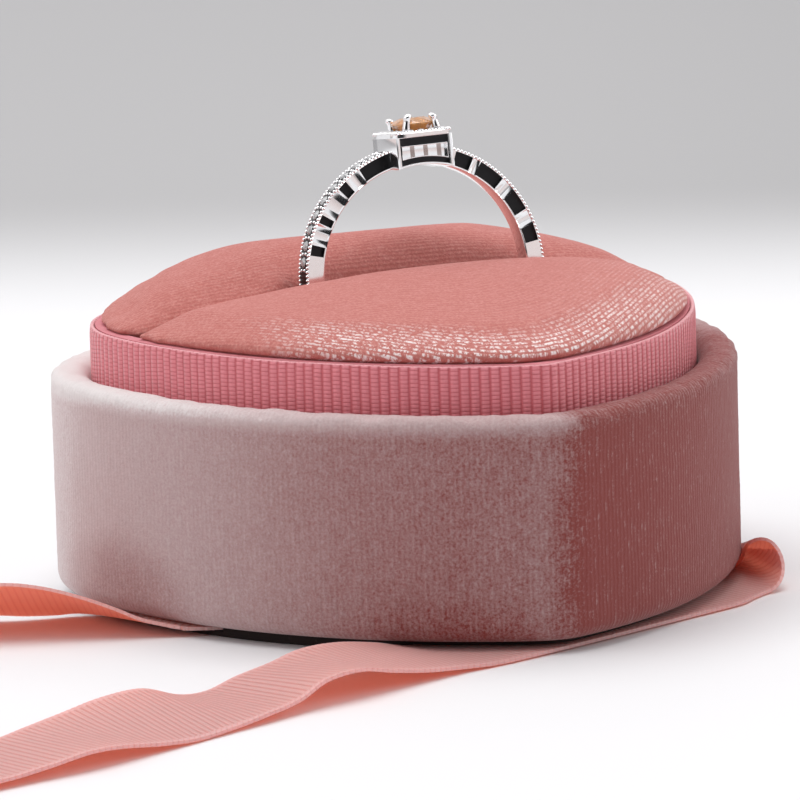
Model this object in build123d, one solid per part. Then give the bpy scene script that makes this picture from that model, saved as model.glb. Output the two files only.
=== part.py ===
"""Heart-shaped velvet ring box: the base with its ring cushion, collar, tie ribbons and displayed ring.

Frame: millimetres, +Z up. The origin is the middle of the flat underside that rests on a surface,
+X runs along the ring slot, and the tip of the heart points toward -Y.
"""

import os
from math import asin, atan2, cos, degrees, radians, sin, sqrt

from build123d import *

# ---- Heart outline of the velvet-covered base, measured at its outer face ----
LOBE_X = 10.78  # half the distance between the centres of the two side lobes
LOBE_R = 16.55  # radius of each lobe at the side
CROWN_R = 13.5  # tighter radius of each lobe at the back
CROWN_FROM = 68.0  # direction, in degrees, where the lobe turns into its crown
NOTCH_R = 3.0  # fillet at the bottom of the notch between the lobes
TIP_R = 5.68  # radius of the heart's tip
TIP_CENTRE_Y = -28.885  # centre of the tip circle, from the line through the lobe centres
FLANK_R = 40.68  # radius of the two long flanks
LOBE_LINE_Y = 9.1  # the line through the lobe centres, from the origin
LEAST_TIP_R = 0.4  # no inner layer gets a sharper tip than this

# ---- Base ----
BASE_H = 18.1  # resting face to the top of the wall
VELVET = 0.75  # thickness of the covering velvet
WALL = 1.65  # thickness of the moulded wall
FLOOR = 1.4  # thickness of the moulded floor
BOTTOM_ROUND = 1.4  # rounding of the covered bottom edge
RIM_ROUND = 0.75  # rounding of the velvet over the rim
LINING_DEPTH = 6.0  # how far the velvet turns down inside the wall
TURN_UNDER = 7.0  # how far the velvet turns in under the floor
GLUE = 0.05  # clearance between two glued layers
LINER = 0.85  # thickness of the dark underside board
LINER_INSET = 2.0  # its edge, in from the outer face

# ---- Collar that the lid slips over ----
COLLAR_SHOW = 3.45  # how far it stands above the wall of the base
COLLAR_CARD = 1.0  # thickness of the card strip
GROSGRAIN = 0.35  # thickness of the ribbon glued around it
GROSGRAIN_W = 6.3  # width of that ribbon

# ---- Ring cushion ----
PAD_BOARD = 1.2
PAD_CLEAR = 0.25  # between the collar card and the cushion's velvet
PAD_VELVET = 0.8
REAR_RISE = 6.25  # the rear pad's highest point, above the collar
REAR_R = 52.0  # radius of its domed top
REAR_TOP_AT = (0.0, 0.4)  # that point, from the middle of the line through the lobe centres
FRONT_RISE = 4.2  # the same three values for the front pad
FRONT_R = 140.0
FRONT_TOP_AT = (4.0, -4.1)
SLOT_SHIFT = -2.7  # the slot's middle line beside the ring's centre, from the line through the lobe centres
SLOT_LEAN = 7.6  # degrees that the slot leans away from the tip
SLOT_GAP = 0.6  # between the two pads, away from the ring
RING_CLEAR = 0.3  # between the ring and the pads' velvet, each side
POCKET_BELOW = 0.3  # between the lowest point of the ring and the pads' velvet

# ---- Displayed ring ----
RING_X = 1.85  # its place along the slot
RING_RISE = 2.88  # its centre, above the collar
RING_TURN = 1.4  # degrees that it is turned in its own plane
RING_IN_R = 8.5
RING_WALL = 1.45  # thickness of the shank, from inside to outside
RING_HALF_W = 0.9
PANEL_DEPTH = 0.35  # depth of the pierced-look panels in each side of the shank
PANEL_RIM = 0.2  # metal left inside and outside each panel
PANELS = ((-76, -71), (-60.5, -56.5), (-42.5, -37.5), (-29, -13), (21, 30), (34.5, 47.5), (55, 65.5), (73, 81))
HEAD_X = 0.3  # middle of the head, from the ring's own middle line
HEAD_MARGIN_X = 0.61  # from the stone's girdle to the outside of the head, across the ring
HEAD_MARGIN_Y = 0.75  # and along the finger
HEAD_RISE = 0.77  # top of the gallery, above the outside of the shank
HEAD_WALL = 0.5
HEAD_DIP = 0.6  # how far the plates' corners come down beside the finger hole
HEAD_SILL = 0.22  # how far the two side walls reach below the outside of the shank
HEAD_POST = 0.61  # width of the posts at both sides of the window
WINDOW_SILL = 0.45  # metal between the finger hole and the window
WINDOW_H = 0.95
HALO_T = 0.33
HALO_OVER = 0.1  # how far the halo stands out past the gallery
HALO_CORNER_R = 0.4
STONE_CLEAR = 0.24  # between the stone and the hole in the halo
STONE_R = 1.75
STONE_X = 0.45
STONE_SEAT = 0.7  # the girdle, above the halo
STONE_CROWN = 0.35
STONE_PAVILION = 1.55
STONE_TABLE_R = 1.0
PRONG_R = 0.3
PRONG_OUT = 0.02  # middle of a prong, out from the girdle
PRONG_TURN = 47.3  # direction of the prongs, in degrees from across the ring
PRONG_RISE = 0.6  # middle of a prong's ball, above the girdle
ACCENT_R = 0.38  # small stones of the halo
ACCENT_H = 0.2
ACCENT_EDGE = 0.12  # metal left outside the row
ACCENTS_A_SIDE = 5
SHANK_STONE_R = 0.45  # small stones along the outside of the shank
SHANK_STONE_H = 0.4
SHANK_STONE_SUNK = 0.25  # how deep each is set into the shank
SHANK_STONE_GAP = 0.29  # between the head and the first of them
SHANK_STONE_STEP = 7.4  # degrees from one to the next
SHANK_STONE_LAST = 82.0  # degrees from the top where the row ends

# ---- Tie ribbons ----
# A stretch of ribbon is a row of stations, each with a near and a far edge point. They are measured
# from the place where the ribbon leaves the outline, and Z from the surface that the base rests on.
TIE_W = 9.5
TIE_T = 0.36
TAB_LENGTH = 15.0
TAB_CLEAR = 0.35  # around a ribbon in the underside board
TAB_Z = LINER - GLUE - TIE_T / 2  # middle of a glued tab
RIGHT_FACES = -28.0  # direction of the outline where the right tie leaves it, in degrees
LEFT_FACES = -18.0  # and where the left tie leaves it
FRONT_FACES = -52.0  # and where the right tie comes out again, having passed under the tip
UNDER_FROM = 14  # first station of the roll that lies on the surface
UNDER_TO = 3  # stations of the front tail that still lie under the base
RIGHT_ROLL = (
    ((-4.84, 9.22, TAB_Z), (2.86, 14.72, TAB_Z)),
    ((-0.12, 2.6, TAB_Z + 0.02), (4.14, 14.04, TAB_Z + 0.02)),
    ((0.2, 1.94, TAB_Z + 0.06), (4.61, 12.62, TAB_Z)),
    ((0.39, 1.21, 1.1), (4.61, 11.72, 0.62)),
    ((0.43, 0.5, 1.75), (4.52, 10.92, 0.62)),
    ((0.32, -0.16, 2.45), (4.36, 10.22, 0.63)),
    ((0.39, -0.94, 3.05), (4.21, 9.52, 0.64)),
    ((0.68, -1.82, 3.45), (4.02, 8.87, 0.66)),
    ((1.09, -2.68, 3.5), (3.81, 8.27, 0.66)),
    ((1.4, -3.51, 3.15), (3.61, 7.67, 0.64)),
    ((1.48, -4.4, 2.45), (3.41, 7.07, 0.58)),
    ((1.31, -5.09, 1.65), (3.21, 6.47, 0.5)),
    ((0.86, -5.66, 0.95), (3.02, 5.92, 0.38)),
    ((0.14, -6.12, 0.45), (2.66, 5.42, 0.28)),
    ((-0.77, -6.51, 0.25), (1.96, 4.52, 0.25)),
    ((-2.5, -7.87, 0.25), (-2.14, 2.02, 0.25)),
    ((-4.44, -9.48, 0.25), (-8.44, -0.88, 0.25)),
)
FRONT_TAIL = (
    ((10.06, -5.72, 0.25), (6.06, 2.88, 0.25)),
    ((5.66, -7.42, 0.25), (1.96, 1.28, 0.27)),
    ((2.46, -8.42, 0.45), (-1.24, 0.28, 1.0)),
    ((-0.94, -9.92, 0.85), (-5.04, -1.52, 1.75)),
    ((-4.44, -11.52, 1.5), (-8.54, -3.02, 1.9)),
    ((-7.64, -13.02, 2.2), (-11.54, -4.32, 1.4)),
    ((-10.74, -14.22, 2.0), (-14.64, -5.52, 0.95)),
    ((-13.44, -15.52, 1.05), (-17.44, -6.82, 0.43)),
    ((-16.64, -17.22, 0.65), (-20.24, -8.42, 0.75)),
    ((-19.84, -18.82, 0.35), (-23.74, -10.12, 1.9)),
    ((-23.24, -20.62, 0.25), (-27.74, -12.42, 2.1)),
    ((-26.64, -22.32, 0.6), (-31.44, -14.22, 1.7)),
    ((-30.44, -24.22, 1.2), (-34.74, -15.72, 1.3)),
    ((-33.34, -25.52, 1.35), (-37.24, -16.92, 1.0)),
    ((-36.74, -26.62, 0.95), (-40.24, -17.82, 0.6)),
    ((-40.94, -28.02, 0.65), (-44.34, -19.12, 0.3)),
    ((-46.24, -29.92, 0.9), (-49.64, -21.12, 0.3)),
    ((-51.64, -32.02, 1.9), (-54.94, -23.22, 0.9)),
    ((-56.94, -33.82, 2.2), (-60.04, -24.92, 2.0)),
    ((-62.24, -35.52, 1.2), (-65.04, -26.52, 1.9)),
    ((-67.74, -37.32, 0.4), (-70.54, -28.22, 0.8)),
    ((-73.44, -39.42, 0.25), (-72.94, -29.12, 0.25)),
)
LEFT_TAIL = (
    ((4.11, -5.81, TAB_Z), (7.31, 3.09, TAB_Z)),
    ((2.11, -5.06, TAB_Z + 0.13), (0.01, 5.69, TAB_Z + 0.02)),
    ((1.01, -4.61, 1.0), (-0.99, 6.09, 0.55)),
    ((-0.69, -4.01, 1.5), (-1.99, 6.39, 0.45)),
    ((-2.79, -3.31, 2.5), (-2.89, 6.59, 0.35)),
    ((-5.29, -2.41, 3.5), (-4.09, 6.69, 0.35)),
    ((-8.09, -1.41, 4.3), (-6.29, 7.09, 0.45)),
    ((-10.89, -0.41, 4.6), (-8.49, 7.89, 0.6)),
    ((-14.69, 0.99, 4.2), (-11.89, 9.39, 0.6)),
    ((-18.99, 2.59, 3.1), (-15.89, 11.09, 0.4)),
    ((-23.69, 4.29, 1.8), (-20.49, 13.09, 0.3)),
    ((-28.39, 5.99, 0.8), (-25.19, 14.89, 0.5)),
    ((-33.59, 7.89, 0.3), (-30.39, 16.79, 1.2)),
    ((-38.69, 9.69, 0.3), (-35.49, 18.59, 1.5)),
    ((-43.89, 11.59, 0.6), (-40.69, 20.49, 0.8)),
    ((-49.09, 13.49, 0.9), (-45.89, 22.39, 0.35)),
    ((-53.79, 15.19, 0.4), (-48.59, 23.19, 0.25)),
)

# ---- Worked out ----
SKIN_LOW = LINER + GLUE
SHELL_LOW = SKIN_LOW + VELVET
FLOOR_TOP = SHELL_LOW + FLOOR
SHELL_TOP = BASE_H - VELVET
CAVITY_INSET = VELVET + WALL
GROSGRAIN_INSET = CAVITY_INSET + VELVET + GLUE
COLLAR_INSET = GROSGRAIN_INSET + GROSGRAIN + GLUE
PAD_INSET = COLLAR_INSET + COLLAR_CARD + PAD_CLEAR
PAD_LOW = FLOOR_TOP + GLUE + PAD_BOARD + GLUE
COLLAR_TOP = BASE_H + COLLAR_SHOW
RING_Y = LOBE_LINE_Y + SLOT_SHIFT
RING_Z = COLLAR_TOP + RING_RISE
RING_OUT_R = RING_IN_R + RING_WALL
HEAD_HALF_X = STONE_R + HEAD_MARGIN_X
HEAD_HALF_Y = STONE_R + HEAD_MARGIN_Y
HEAD_TOP = RING_OUT_R + HEAD_RISE
HALO_TOP = HEAD_TOP + HALO_T
STONE_GIRDLE = HALO_TOP + STONE_SEAT
STONE_TABLE = STONE_GIRDLE + STONE_CROWN
STONE_CULET = STONE_GIRDLE - STONE_PAVILION
HALO_HOLE_R = STONE_R * (HALO_TOP - STONE_CULET) / STONE_PAVILION + STONE_CLEAR
PRONG_X = (STONE_R + PRONG_OUT) * cos(radians(PRONG_TURN))
PRONG_Y = (STONE_R + PRONG_OUT) * sin(radians(PRONG_TURN))
PRONG_TOP = STONE_GIRDLE + PRONG_RISE
SHANK_STONE_FIRST = degrees(asin((HEAD_X + HEAD_HALF_X + SHANK_STONE_GAP + SHANK_STONE_R) / RING_OUT_R))
REACH = 80.0  # further than any part of the cushion
WEDGE = 2 * RING_OUT_R  # further than the outside of the ring


def heart_centres():
    """Centres of the right lobe, crown, flank and the notch, about the lobe line; insets keep them."""
    lobe = (LOBE_X, 0.0)
    shift = LOBE_R - CROWN_R
    crown = (LOBE_X + shift * cos(radians(CROWN_FROM)), shift * sin(radians(CROWN_FROM)))
    notch = (0.0, crown[1] + sqrt((CROWN_R + NOTCH_R) ** 2 - crown[0] ** 2))
    # The flank circle touches the lobe circle and the tip circle from outside of both.
    to_lobe = FLANK_R - LOBE_R
    to_tip = FLANK_R - TIP_R
    apart = sqrt(LOBE_X**2 + TIP_CENTRE_Y**2)
    along = (to_lobe**2 - to_tip**2 + apart**2) / (2 * apart)
    aside = sqrt(to_lobe**2 - along**2)
    to_x = -LOBE_X / apart
    to_y = TIP_CENTRE_Y / apart
    flank = (LOBE_X + along * to_x + aside * to_y, along * to_y - aside * to_x)
    return lobe, crown, flank, notch


def outline_point(side, faces):
    """The point of the right (+1) or left (-1) half of the outline that faces `faces` degrees."""
    lobe, _, flank, _ = heart_centres()
    tip = (0.0, TIP_CENTRE_Y)
    centre, radius = tip, TIP_R
    if faces > degrees(atan2(lobe[1] - flank[1], lobe[0] - flank[0])):
        centre, radius = lobe, LOBE_R
    elif faces > degrees(atan2(tip[1] - flank[1], tip[0] - flank[0])):
        centre, radius = flank, FLANK_R
    x = centre[0] + radius * cos(radians(faces))
    return (side * x, LOBE_LINE_Y + centre[1] + radius * sin(radians(faces)))


def toward(centre, radius, target):
    """The point of a circle in the direction of another point."""
    dx = target[0] - centre[0]
    dy = target[1] - centre[1]
    length = sqrt(dx * dx + dy * dy)
    return (centre[0] + radius * dx / length, centre[1] + radius * dy / length)


def arc(centre, radius, start, end):
    """The shorter arc of a circle between two of its points."""
    middle = ((start[0] + end[0]) / 2, (start[1] + end[1]) / 2)
    return ThreePointArc(start, toward(centre, radius, middle), end)


def heart(inset=0.0):
    """Face of the heart, moved in by `inset` from the outer face of the velvet."""
    lobe, crown, flank, notch = heart_centres()
    lobe_r = LOBE_R - inset
    crown_r = CROWN_R - inset
    flank_r = FLANK_R - inset
    notch_r = NOTCH_R + inset
    tip_r = max(TIP_R - inset, LEAST_TIP_R)
    tip = (0.0, flank[1] - sqrt((flank_r - tip_r) ** 2 - flank[0] ** 2))
    notch_foot = (0.0, notch[1] - notch_r)
    in_notch = toward(crown, crown_r, notch)
    crown_from = (lobe[0] + lobe_r * cos(radians(CROWN_FROM)), lobe[1] + lobe_r * sin(radians(CROWN_FROM)))
    lobe_end = toward(flank, flank_r, lobe)
    flank_end = toward(flank, flank_r, tip)
    tip_foot = (0.0, tip[1] - tip_r)
    right = [
        arc(notch, notch_r, notch_foot, in_notch),
        ThreePointArc(in_notch, (crown[0], crown[1] + crown_r), crown_from),
        ThreePointArc(crown_from, (lobe[0] + lobe_r, lobe[1]), lobe_end),
        arc(flank, flank_r, lobe_end, flank_end),
        arc(tip, tip_r, flank_end, tip_foot),
    ]
    left = [edge.mirror(Plane.YZ) for edge in right]
    return Pos(0, LOBE_LINE_Y) * make_face(Wire(right + left))


def slab(inset, low, high):
    """Heart-shaped plate or plug between two heights."""
    return Pos(0, 0, low) * extrude(heart(inset), high - low)


def band(outer, inner, low, high):
    """Heart-shaped wall between two insets and two heights."""
    return slab(outer, low, high) - slab(inner, low, high)


def rounded(shape, low, radius):
    """Round the edges that lie at one height."""
    edges = shape.edges().filter_by_position(Axis.Z, low - 0.01, low + 0.01)
    return fillet(edges, radius)


# ---- Base ----
def base_shell():
    shell = rounded(slab(VELVET, SHELL_LOW, SHELL_TOP), SHELL_LOW, BOTTOM_ROUND - VELVET)
    return shell - slab(CAVITY_INSET, FLOOR_TOP, SHELL_TOP)


def base_velvet():
    """One skin: up the outside, over the rim, down inside the wall and in under the floor."""
    block = rounded(slab(0, SKIN_LOW, BASE_H), SKIN_LOW, BOTTOM_ROUND)
    block = rounded(block, BASE_H, RIM_ROUND)
    core = rounded(slab(VELVET, SHELL_LOW, SHELL_TOP), SHELL_LOW, BOTTOM_ROUND - VELVET)
    inside = slab(CAVITY_INSET + VELVET, SHELL_TOP, BASE_H)
    under = slab(TURN_UNDER, SKIN_LOW, SHELL_LOW)
    lining = band(CAVITY_INSET, CAVITY_INSET + VELVET, SHELL_TOP - LINING_DEPTH, SHELL_TOP)
    return block - core - inside - under + lining


def footprint(stations, low, high):
    """Block over a stretch of tie ribbon, from above, with its clearance, between two heights."""
    near = [station[0] for station in stations]
    far = [station[1] for station in stations]
    outline = [(point[0], point[1]) for point in near + far[::-1]]
    face = offset(make_face(Polyline(*outline, close=True)), TAB_CLEAR, kind=Kind.INTERSECTION)
    return Pos(0, 0, low) * extrude(face, high - low)


def bottom_liner():
    """The board is relieved from above for the glued tabs, and from below where a tail runs under."""
    board = slab(LINER_INSET, 0, LINER)
    for stations in (right_roll(), left_tail()):
        board -= footprint((tab_start(stations), *stations[:2]), TAB_Z - TIE_T / 2 - GLUE, LINER)
    return board - footprint(right_roll()[UNDER_FROM:] + front_tail()[:UNDER_TO], 0, TIE_T + 3 * GLUE)


# ---- Collar ----
def collar_core():
    return band(COLLAR_INSET, COLLAR_INSET + COLLAR_CARD, FLOOR_TOP + GLUE, COLLAR_TOP)


def collar_ribbon():
    return band(GROSGRAIN_INSET, GROSGRAIN_INSET + GROSGRAIN, COLLAR_TOP - GROSGRAIN_W, COLLAR_TOP)


# ---- Ring cushion ----
def in_slot(x, y_from, y_to, z_from, z_to):
    """Block in the leaning frame of the slot, from the ring's centre; `x` is its reach each side."""
    block = Box(2 * x, y_to - y_from, z_to - z_from)
    return Pos(0, RING_Y, RING_Z) * Rot(X=-SLOT_LEAN) * Pos(0, (y_from + y_to) / 2, (z_from + z_to) / 2) * block


def pad(side, skin):
    """One half of the cushion, `side` -1 in front and +1 behind, with a skin's thickness taken off."""
    rise, radius, (x, y) = (REAR_RISE, REAR_R, REAR_TOP_AT) if side > 0 else (FRONT_RISE, FRONT_R, FRONT_TOP_AT)
    top = COLLAR_TOP + rise - skin
    dome = Pos(x, LOBE_LINE_Y + y, top - radius) * Sphere(radius)
    near = SLOT_GAP / 2 + skin
    half = in_slot(REACH, min(side * near, side * REACH), max(side * near, side * REACH), -REACH, REACH)
    wide = RING_OUT_R + RING_CLEAR + skin
    deep = RING_HALF_W + RING_CLEAR + skin
    pocket = Pos(RING_X, 0, 0) * in_slot(wide, -deep, deep, -RING_OUT_R - POCKET_BELOW - skin, REACH)
    return (slab(PAD_INSET + skin, PAD_LOW, top) & dome & half) - pocket


def pad_velvet(side):
    """Skin of one half, open underneath."""
    return pad(side, 0) - pad(side, PAD_VELVET - GLUE)


def pad_foam(side):
    return pad(side, PAD_VELVET)


def pad_board():
    return slab(PAD_INSET, FLOOR_TOP + GLUE, FLOOR_TOP + GLUE + PAD_BOARD)


# ---- Tie ribbons ----
def placed(side, faces, stations):
    """Stations moved to the place where their ribbon leaves the outline."""
    x, y = outline_point(side, faces)
    return [tuple((point[0] + x, point[1] + y, point[2]) for point in station) for station in stations]


def right_roll():
    return placed(1, RIGHT_FACES, RIGHT_ROLL)


def front_tail():
    return placed(-1, FRONT_FACES, FRONT_TAIL)


def left_tail():
    return placed(-1, LEFT_FACES, LEFT_TAIL)


def tab_start(stations):
    """Inner end of the glued tab, which runs straight in under the base from the first station."""
    near = Vector(*stations[0][0])
    far = Vector(*stations[0][1])
    across = (far - near).normalized()
    inward = Vector(-across.Y, across.X)
    if inward.dot(Vector(*stations[1][0]) - near) > 0:
        inward = inward * -1
    start = near + inward * TAB_LENGTH
    end = start + across * TIE_W
    return ((start.X, start.Y, TAB_Z), (end.X, end.Y, TAB_Z))


def strip(stations):
    """Thin closed solid of a ribbon through its near and far edge points."""
    tops = []
    lows = []
    for index, (near, far) in enumerate(stations):
        before = stations[max(index - 1, 0)]
        after = stations[min(index + 1, len(stations) - 1)]
        run = Vector(*after[0]) + Vector(*after[1]) - Vector(*before[0]) - Vector(*before[1])
        width = Vector(*far) - Vector(*near)
        up = run.cross(width).normalized() * (TIE_T / 2)
        tops.append((Vector(*near) + up, Vector(*far) + up))
        lows.append((Vector(*near) - up, Vector(*far) - up))
    quads = [(tops[0][0], tops[0][1], lows[0][1], lows[0][0]), (tops[-1][0], lows[-1][0], lows[-1][1], tops[-1][1])]
    for i in range(len(stations) - 1):
        j = i + 1
        quads.append((tops[i][0], tops[j][0], tops[j][1], tops[i][1]))
        quads.append((lows[i][0], lows[i][1], lows[j][1], lows[j][0]))
        quads.append((tops[i][0], lows[i][0], lows[j][0], tops[j][0]))
        quads.append((tops[i][1], tops[j][1], lows[j][1], lows[i][1]))
    faces = []
    for a, b, c, d in quads:
        faces.append(Face(Wire.make_polygon([a, b, c])))
        faces.append(Face(Wire.make_polygon([a, c, d])))
    return Solid(Shell(faces))


def tie(stations):
    return strip((tab_start(stations), *stations))


# ---- Displayed ring, about its own centre: X across, Y along the finger, Z to the stone ----
def hoop(inner, outer, half_width):
    disc = Rot(X=90) * Cylinder(outer, 2 * half_width)
    return disc - Rot(X=90) * Cylinder(inner, 2 * half_width)


def around(radius, angle):
    """Place at an angle from the top of the ring, clockwise, with Z pointing outwards."""
    return Rot(Y=angle) * Pos(0, 0, radius)


def shank_stone(angle):
    low = RING_OUT_R - SHANK_STONE_SUNK
    return around(low, angle) * Cylinder(SHANK_STONE_R, SHANK_STONE_H, align=(Align.CENTER, Align.CENTER, Align.MIN))


def shank_stones():
    stones = []
    angle = SHANK_STONE_FIRST
    while angle <= SHANK_STONE_LAST:
        stones.append(shank_stone(angle))
        stones.append(shank_stone(-angle))
        angle += SHANK_STONE_STEP
    return stones


def panel(first, last):
    """Sunk panel between two angles, cut into both sides of the shank."""
    cutter = Box(WEDGE, 2 * RING_HALF_W, WEDGE, align=(Align.MIN, Align.CENTER, Align.MIN))
    wedge = (Rot(Y=first) * cutter) & (Rot(Y=last - 90) * cutter)
    ring = hoop(RING_IN_R + PANEL_RIM, RING_OUT_R - PANEL_RIM - SHANK_STONE_SUNK, RING_HALF_W)
    web = hoop(RING_IN_R, RING_OUT_R, RING_HALF_W - PANEL_DEPTH)
    return (ring - web) & wedge


def ring_shank():
    shank = hoop(RING_IN_R, RING_OUT_R, RING_HALF_W)
    for first, last in PANELS:
        shank -= panel(first, last)
    for stone in shank_stones():
        shank -= stone
    return shank


def ring_head():
    """Open gallery: a front and a back plate with a window, joined by two side walls over the shank."""
    low = RING_IN_R - HEAD_DIP
    height = HEAD_TOP - low
    middle = Pos(HEAD_X, 0, low + height / 2)
    box = middle * Box(2 * HEAD_HALF_X, 2 * HEAD_HALF_Y, height)
    box -= middle * Box(2 * (HEAD_HALF_X - HEAD_WALL), 2 * (HEAD_HALF_Y - HEAD_WALL), height)
    sides = RING_OUT_R - HEAD_SILL - low
    box -= Pos(HEAD_X, 0, low + sides / 2) * Box(3 * HEAD_HALF_X, 2 * (HEAD_HALF_Y - HEAD_WALL), sides)
    window = Box(2 * (HEAD_HALF_X - HEAD_POST), 3 * HEAD_HALF_Y, WINDOW_H)
    box -= Pos(HEAD_X, 0, RING_IN_R + WINDOW_SILL + WINDOW_H / 2) * window
    box -= Rot(X=90) * Cylinder(RING_IN_R, 3 * HEAD_HALF_Y)
    return box - hoop(RING_IN_R, RING_OUT_R, RING_HALF_W)


def ring_halo():
    plate = Box(2 * (HEAD_HALF_X + HALO_OVER), 2 * (HEAD_HALF_Y + HALO_OVER), HALO_T)
    plate = Pos(HEAD_X, 0, HEAD_TOP + HALO_T / 2) * plate
    plate = fillet(plate.edges().filter_by(Axis.Z), HALO_CORNER_R)
    return plate - Pos(STONE_X, 0, HEAD_TOP) * Cylinder(HALO_HOLE_R, 3 * HALO_T)


def ring_center_stone():
    """Round brilliant: table, crown, girdle and pavilion."""
    half = [
        (0, STONE_CULET),
        (STONE_R, STONE_GIRDLE),
        (STONE_TABLE_R, STONE_TABLE),
        (0, STONE_TABLE),
    ]
    profile = Plane.XZ * make_face(Polyline(*half, close=True))
    return Pos(STONE_X, 0, 0) * revolve(profile, Axis.Z)


def ring_prongs():
    """Four round wires with a ball tip, each notched to the stone's girdle."""
    stone = ring_center_stone()
    prongs = []
    for side in (-1, 1):
        for end in (-1, 1):
            place = Pos(STONE_X + side * PRONG_X, end * PRONG_Y, HALO_TOP)
            wire = Cylinder(PRONG_R, PRONG_TOP - HALO_TOP, align=(Align.CENTER, Align.CENTER, Align.MIN))
            tip = Pos(0, 0, PRONG_TOP - HALO_TOP) * Sphere(PRONG_R)
            prongs.append(place * (wire + tip) - stone)
    return prongs


def ring_halo_stones():
    """Small stones in a row along each side of the halo."""
    reach_x = HEAD_HALF_X + HALO_OVER - ACCENT_R - ACCENT_EDGE
    reach_y = HEAD_HALF_Y + HALO_OVER - ACCENT_R - ACCENT_EDGE
    places = set()
    for i in range(ACCENTS_A_SIDE):
        share = 2 * i / (ACCENTS_A_SIDE - 1) - 1
        places.update({(share * reach_x, -reach_y), (share * reach_x, reach_y)})
        places.update({(-reach_x, share * reach_y), (reach_x, share * reach_y)})
    stone = Cone(ACCENT_R, ACCENT_R / 2, ACCENT_H, align=(Align.CENTER, Align.CENTER, Align.MIN))
    return [Pos(HEAD_X + x, y, HALO_TOP) * stone for x, y in sorted(places)]


RING_PLACE = Pos(RING_X, RING_Y, RING_Z) * Rot(X=-SLOT_LEAN) * Rot(Y=-RING_TURN)


def write(name, *solids):
    """Write one node; a group of separate solids becomes a compound."""
    shape = solids[0] if len(solids) == 1 else Compound(children=[*solids])
    export_step(shape, f"parts/{name}.step")


def main():
    os.makedirs("parts", exist_ok=True)
    write("base_shell", base_shell())
    write("base_velvet", base_velvet())
    write("bottom_liner", bottom_liner())
    write("collar_core", collar_core())
    write("collar_ribbon", collar_ribbon())
    write("pad_board", pad_board())
    write("pad_front_foam", pad_foam(-1))
    write("pad_back_foam", pad_foam(1))
    write("pad_front_velvet", pad_velvet(-1))
    write("pad_back_velvet", pad_velvet(1))
    write("tie_ribbon_right", tie(right_roll() + front_tail()))
    write("tie_ribbon_left", tie(left_tail()))
    write("ring_shank", RING_PLACE * ring_shank())
    write("ring_shank_stones", *[RING_PLACE * stone for stone in shank_stones()])
    write("ring_head", RING_PLACE * ring_head())
    write("ring_halo", RING_PLACE * ring_halo())
    write("ring_halo_stones", *[RING_PLACE * stone for stone in ring_halo_stones()])
    write("ring_prongs", *[RING_PLACE * prong for prong in ring_prongs()])
    write("ring_center_stone", RING_PLACE * ring_center_stone())


if __name__ == "__main__":
    main()
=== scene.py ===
"""Looks of the heart-shaped velvet ring box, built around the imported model."""

from math import atan2, cos, exp, hypot, log, pi, radians, sin, sqrt, tan

import bmesh
import bpy
from bpy.props import FloatProperty, FloatVectorProperty, PointerProperty
from mathutils import Matrix, Vector, noise


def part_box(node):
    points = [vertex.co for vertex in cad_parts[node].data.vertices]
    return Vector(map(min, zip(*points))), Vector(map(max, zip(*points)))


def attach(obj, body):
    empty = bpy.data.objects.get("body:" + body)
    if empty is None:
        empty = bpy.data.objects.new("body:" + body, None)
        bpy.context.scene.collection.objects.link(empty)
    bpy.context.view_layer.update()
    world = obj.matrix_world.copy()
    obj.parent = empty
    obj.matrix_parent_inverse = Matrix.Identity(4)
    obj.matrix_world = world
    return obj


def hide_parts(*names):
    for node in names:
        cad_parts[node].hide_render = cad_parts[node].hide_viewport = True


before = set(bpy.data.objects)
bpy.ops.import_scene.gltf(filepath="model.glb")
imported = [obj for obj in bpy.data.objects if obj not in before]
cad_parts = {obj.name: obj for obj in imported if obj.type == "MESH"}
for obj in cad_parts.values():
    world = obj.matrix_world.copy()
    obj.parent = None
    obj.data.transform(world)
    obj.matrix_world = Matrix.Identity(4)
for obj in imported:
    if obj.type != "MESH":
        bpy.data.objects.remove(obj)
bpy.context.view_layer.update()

bl_info = {
    "name": "Heart Ring Box",
    "version": (1, 0, 0),
    "blender": (4, 5, 0),
    "location": "View3D > Sidebar > Ring Box",
    "description": "Builds the velvet, ribbon, cushion and ring of a heart-shaped ring box",
    "category": "Object",
}

MM = 0.001

# Outline of the velvet-covered base, in metres
LOBE_X = 0.01078
LOBE_R = 0.01655
CROWN_R = 0.0135
CROWN_FROM = radians(68.0)
NOTCH_R = 0.003
TIP_R = 0.00568
TIP_Y = -0.028885
FLANK_R = 0.04068
LOBE_LINE_Y = 0.0091

# Collar: how deep inside the outline the ribbon's outer face lies, and its thickness
COLLAR_AT = 0.0032
COLLAR_THICK = 0.00034

# Cushion: middle, radius and top of the dome of each half, and how it meets the collar
FRONT_DOME = (Vector((0.004, 0.005)), 0.14, 0.02575)
BACK_DOME = (Vector((0.0, 0.0095)), 0.052, 0.02805)
BRIM_FROM = 0.0034
BRIM_ROUND = 0.0011
DOME_MERGE = 0.0005
# Slot: how far it stays open beside the band, and how far and how wide each half leans over beyond that
SLOT_FREE = 0.0012
SLOT_LEAN = 0.00042
SLOT_WIDE = 0.0016
# Dip of the velvet to the slot, as a share of the crown and a width
FRONT_DIP = (0.28, 0.0014)
BACK_DIP = (0.34, 0.0040)
FAR_DIP = (0.20, 0.0028)

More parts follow.
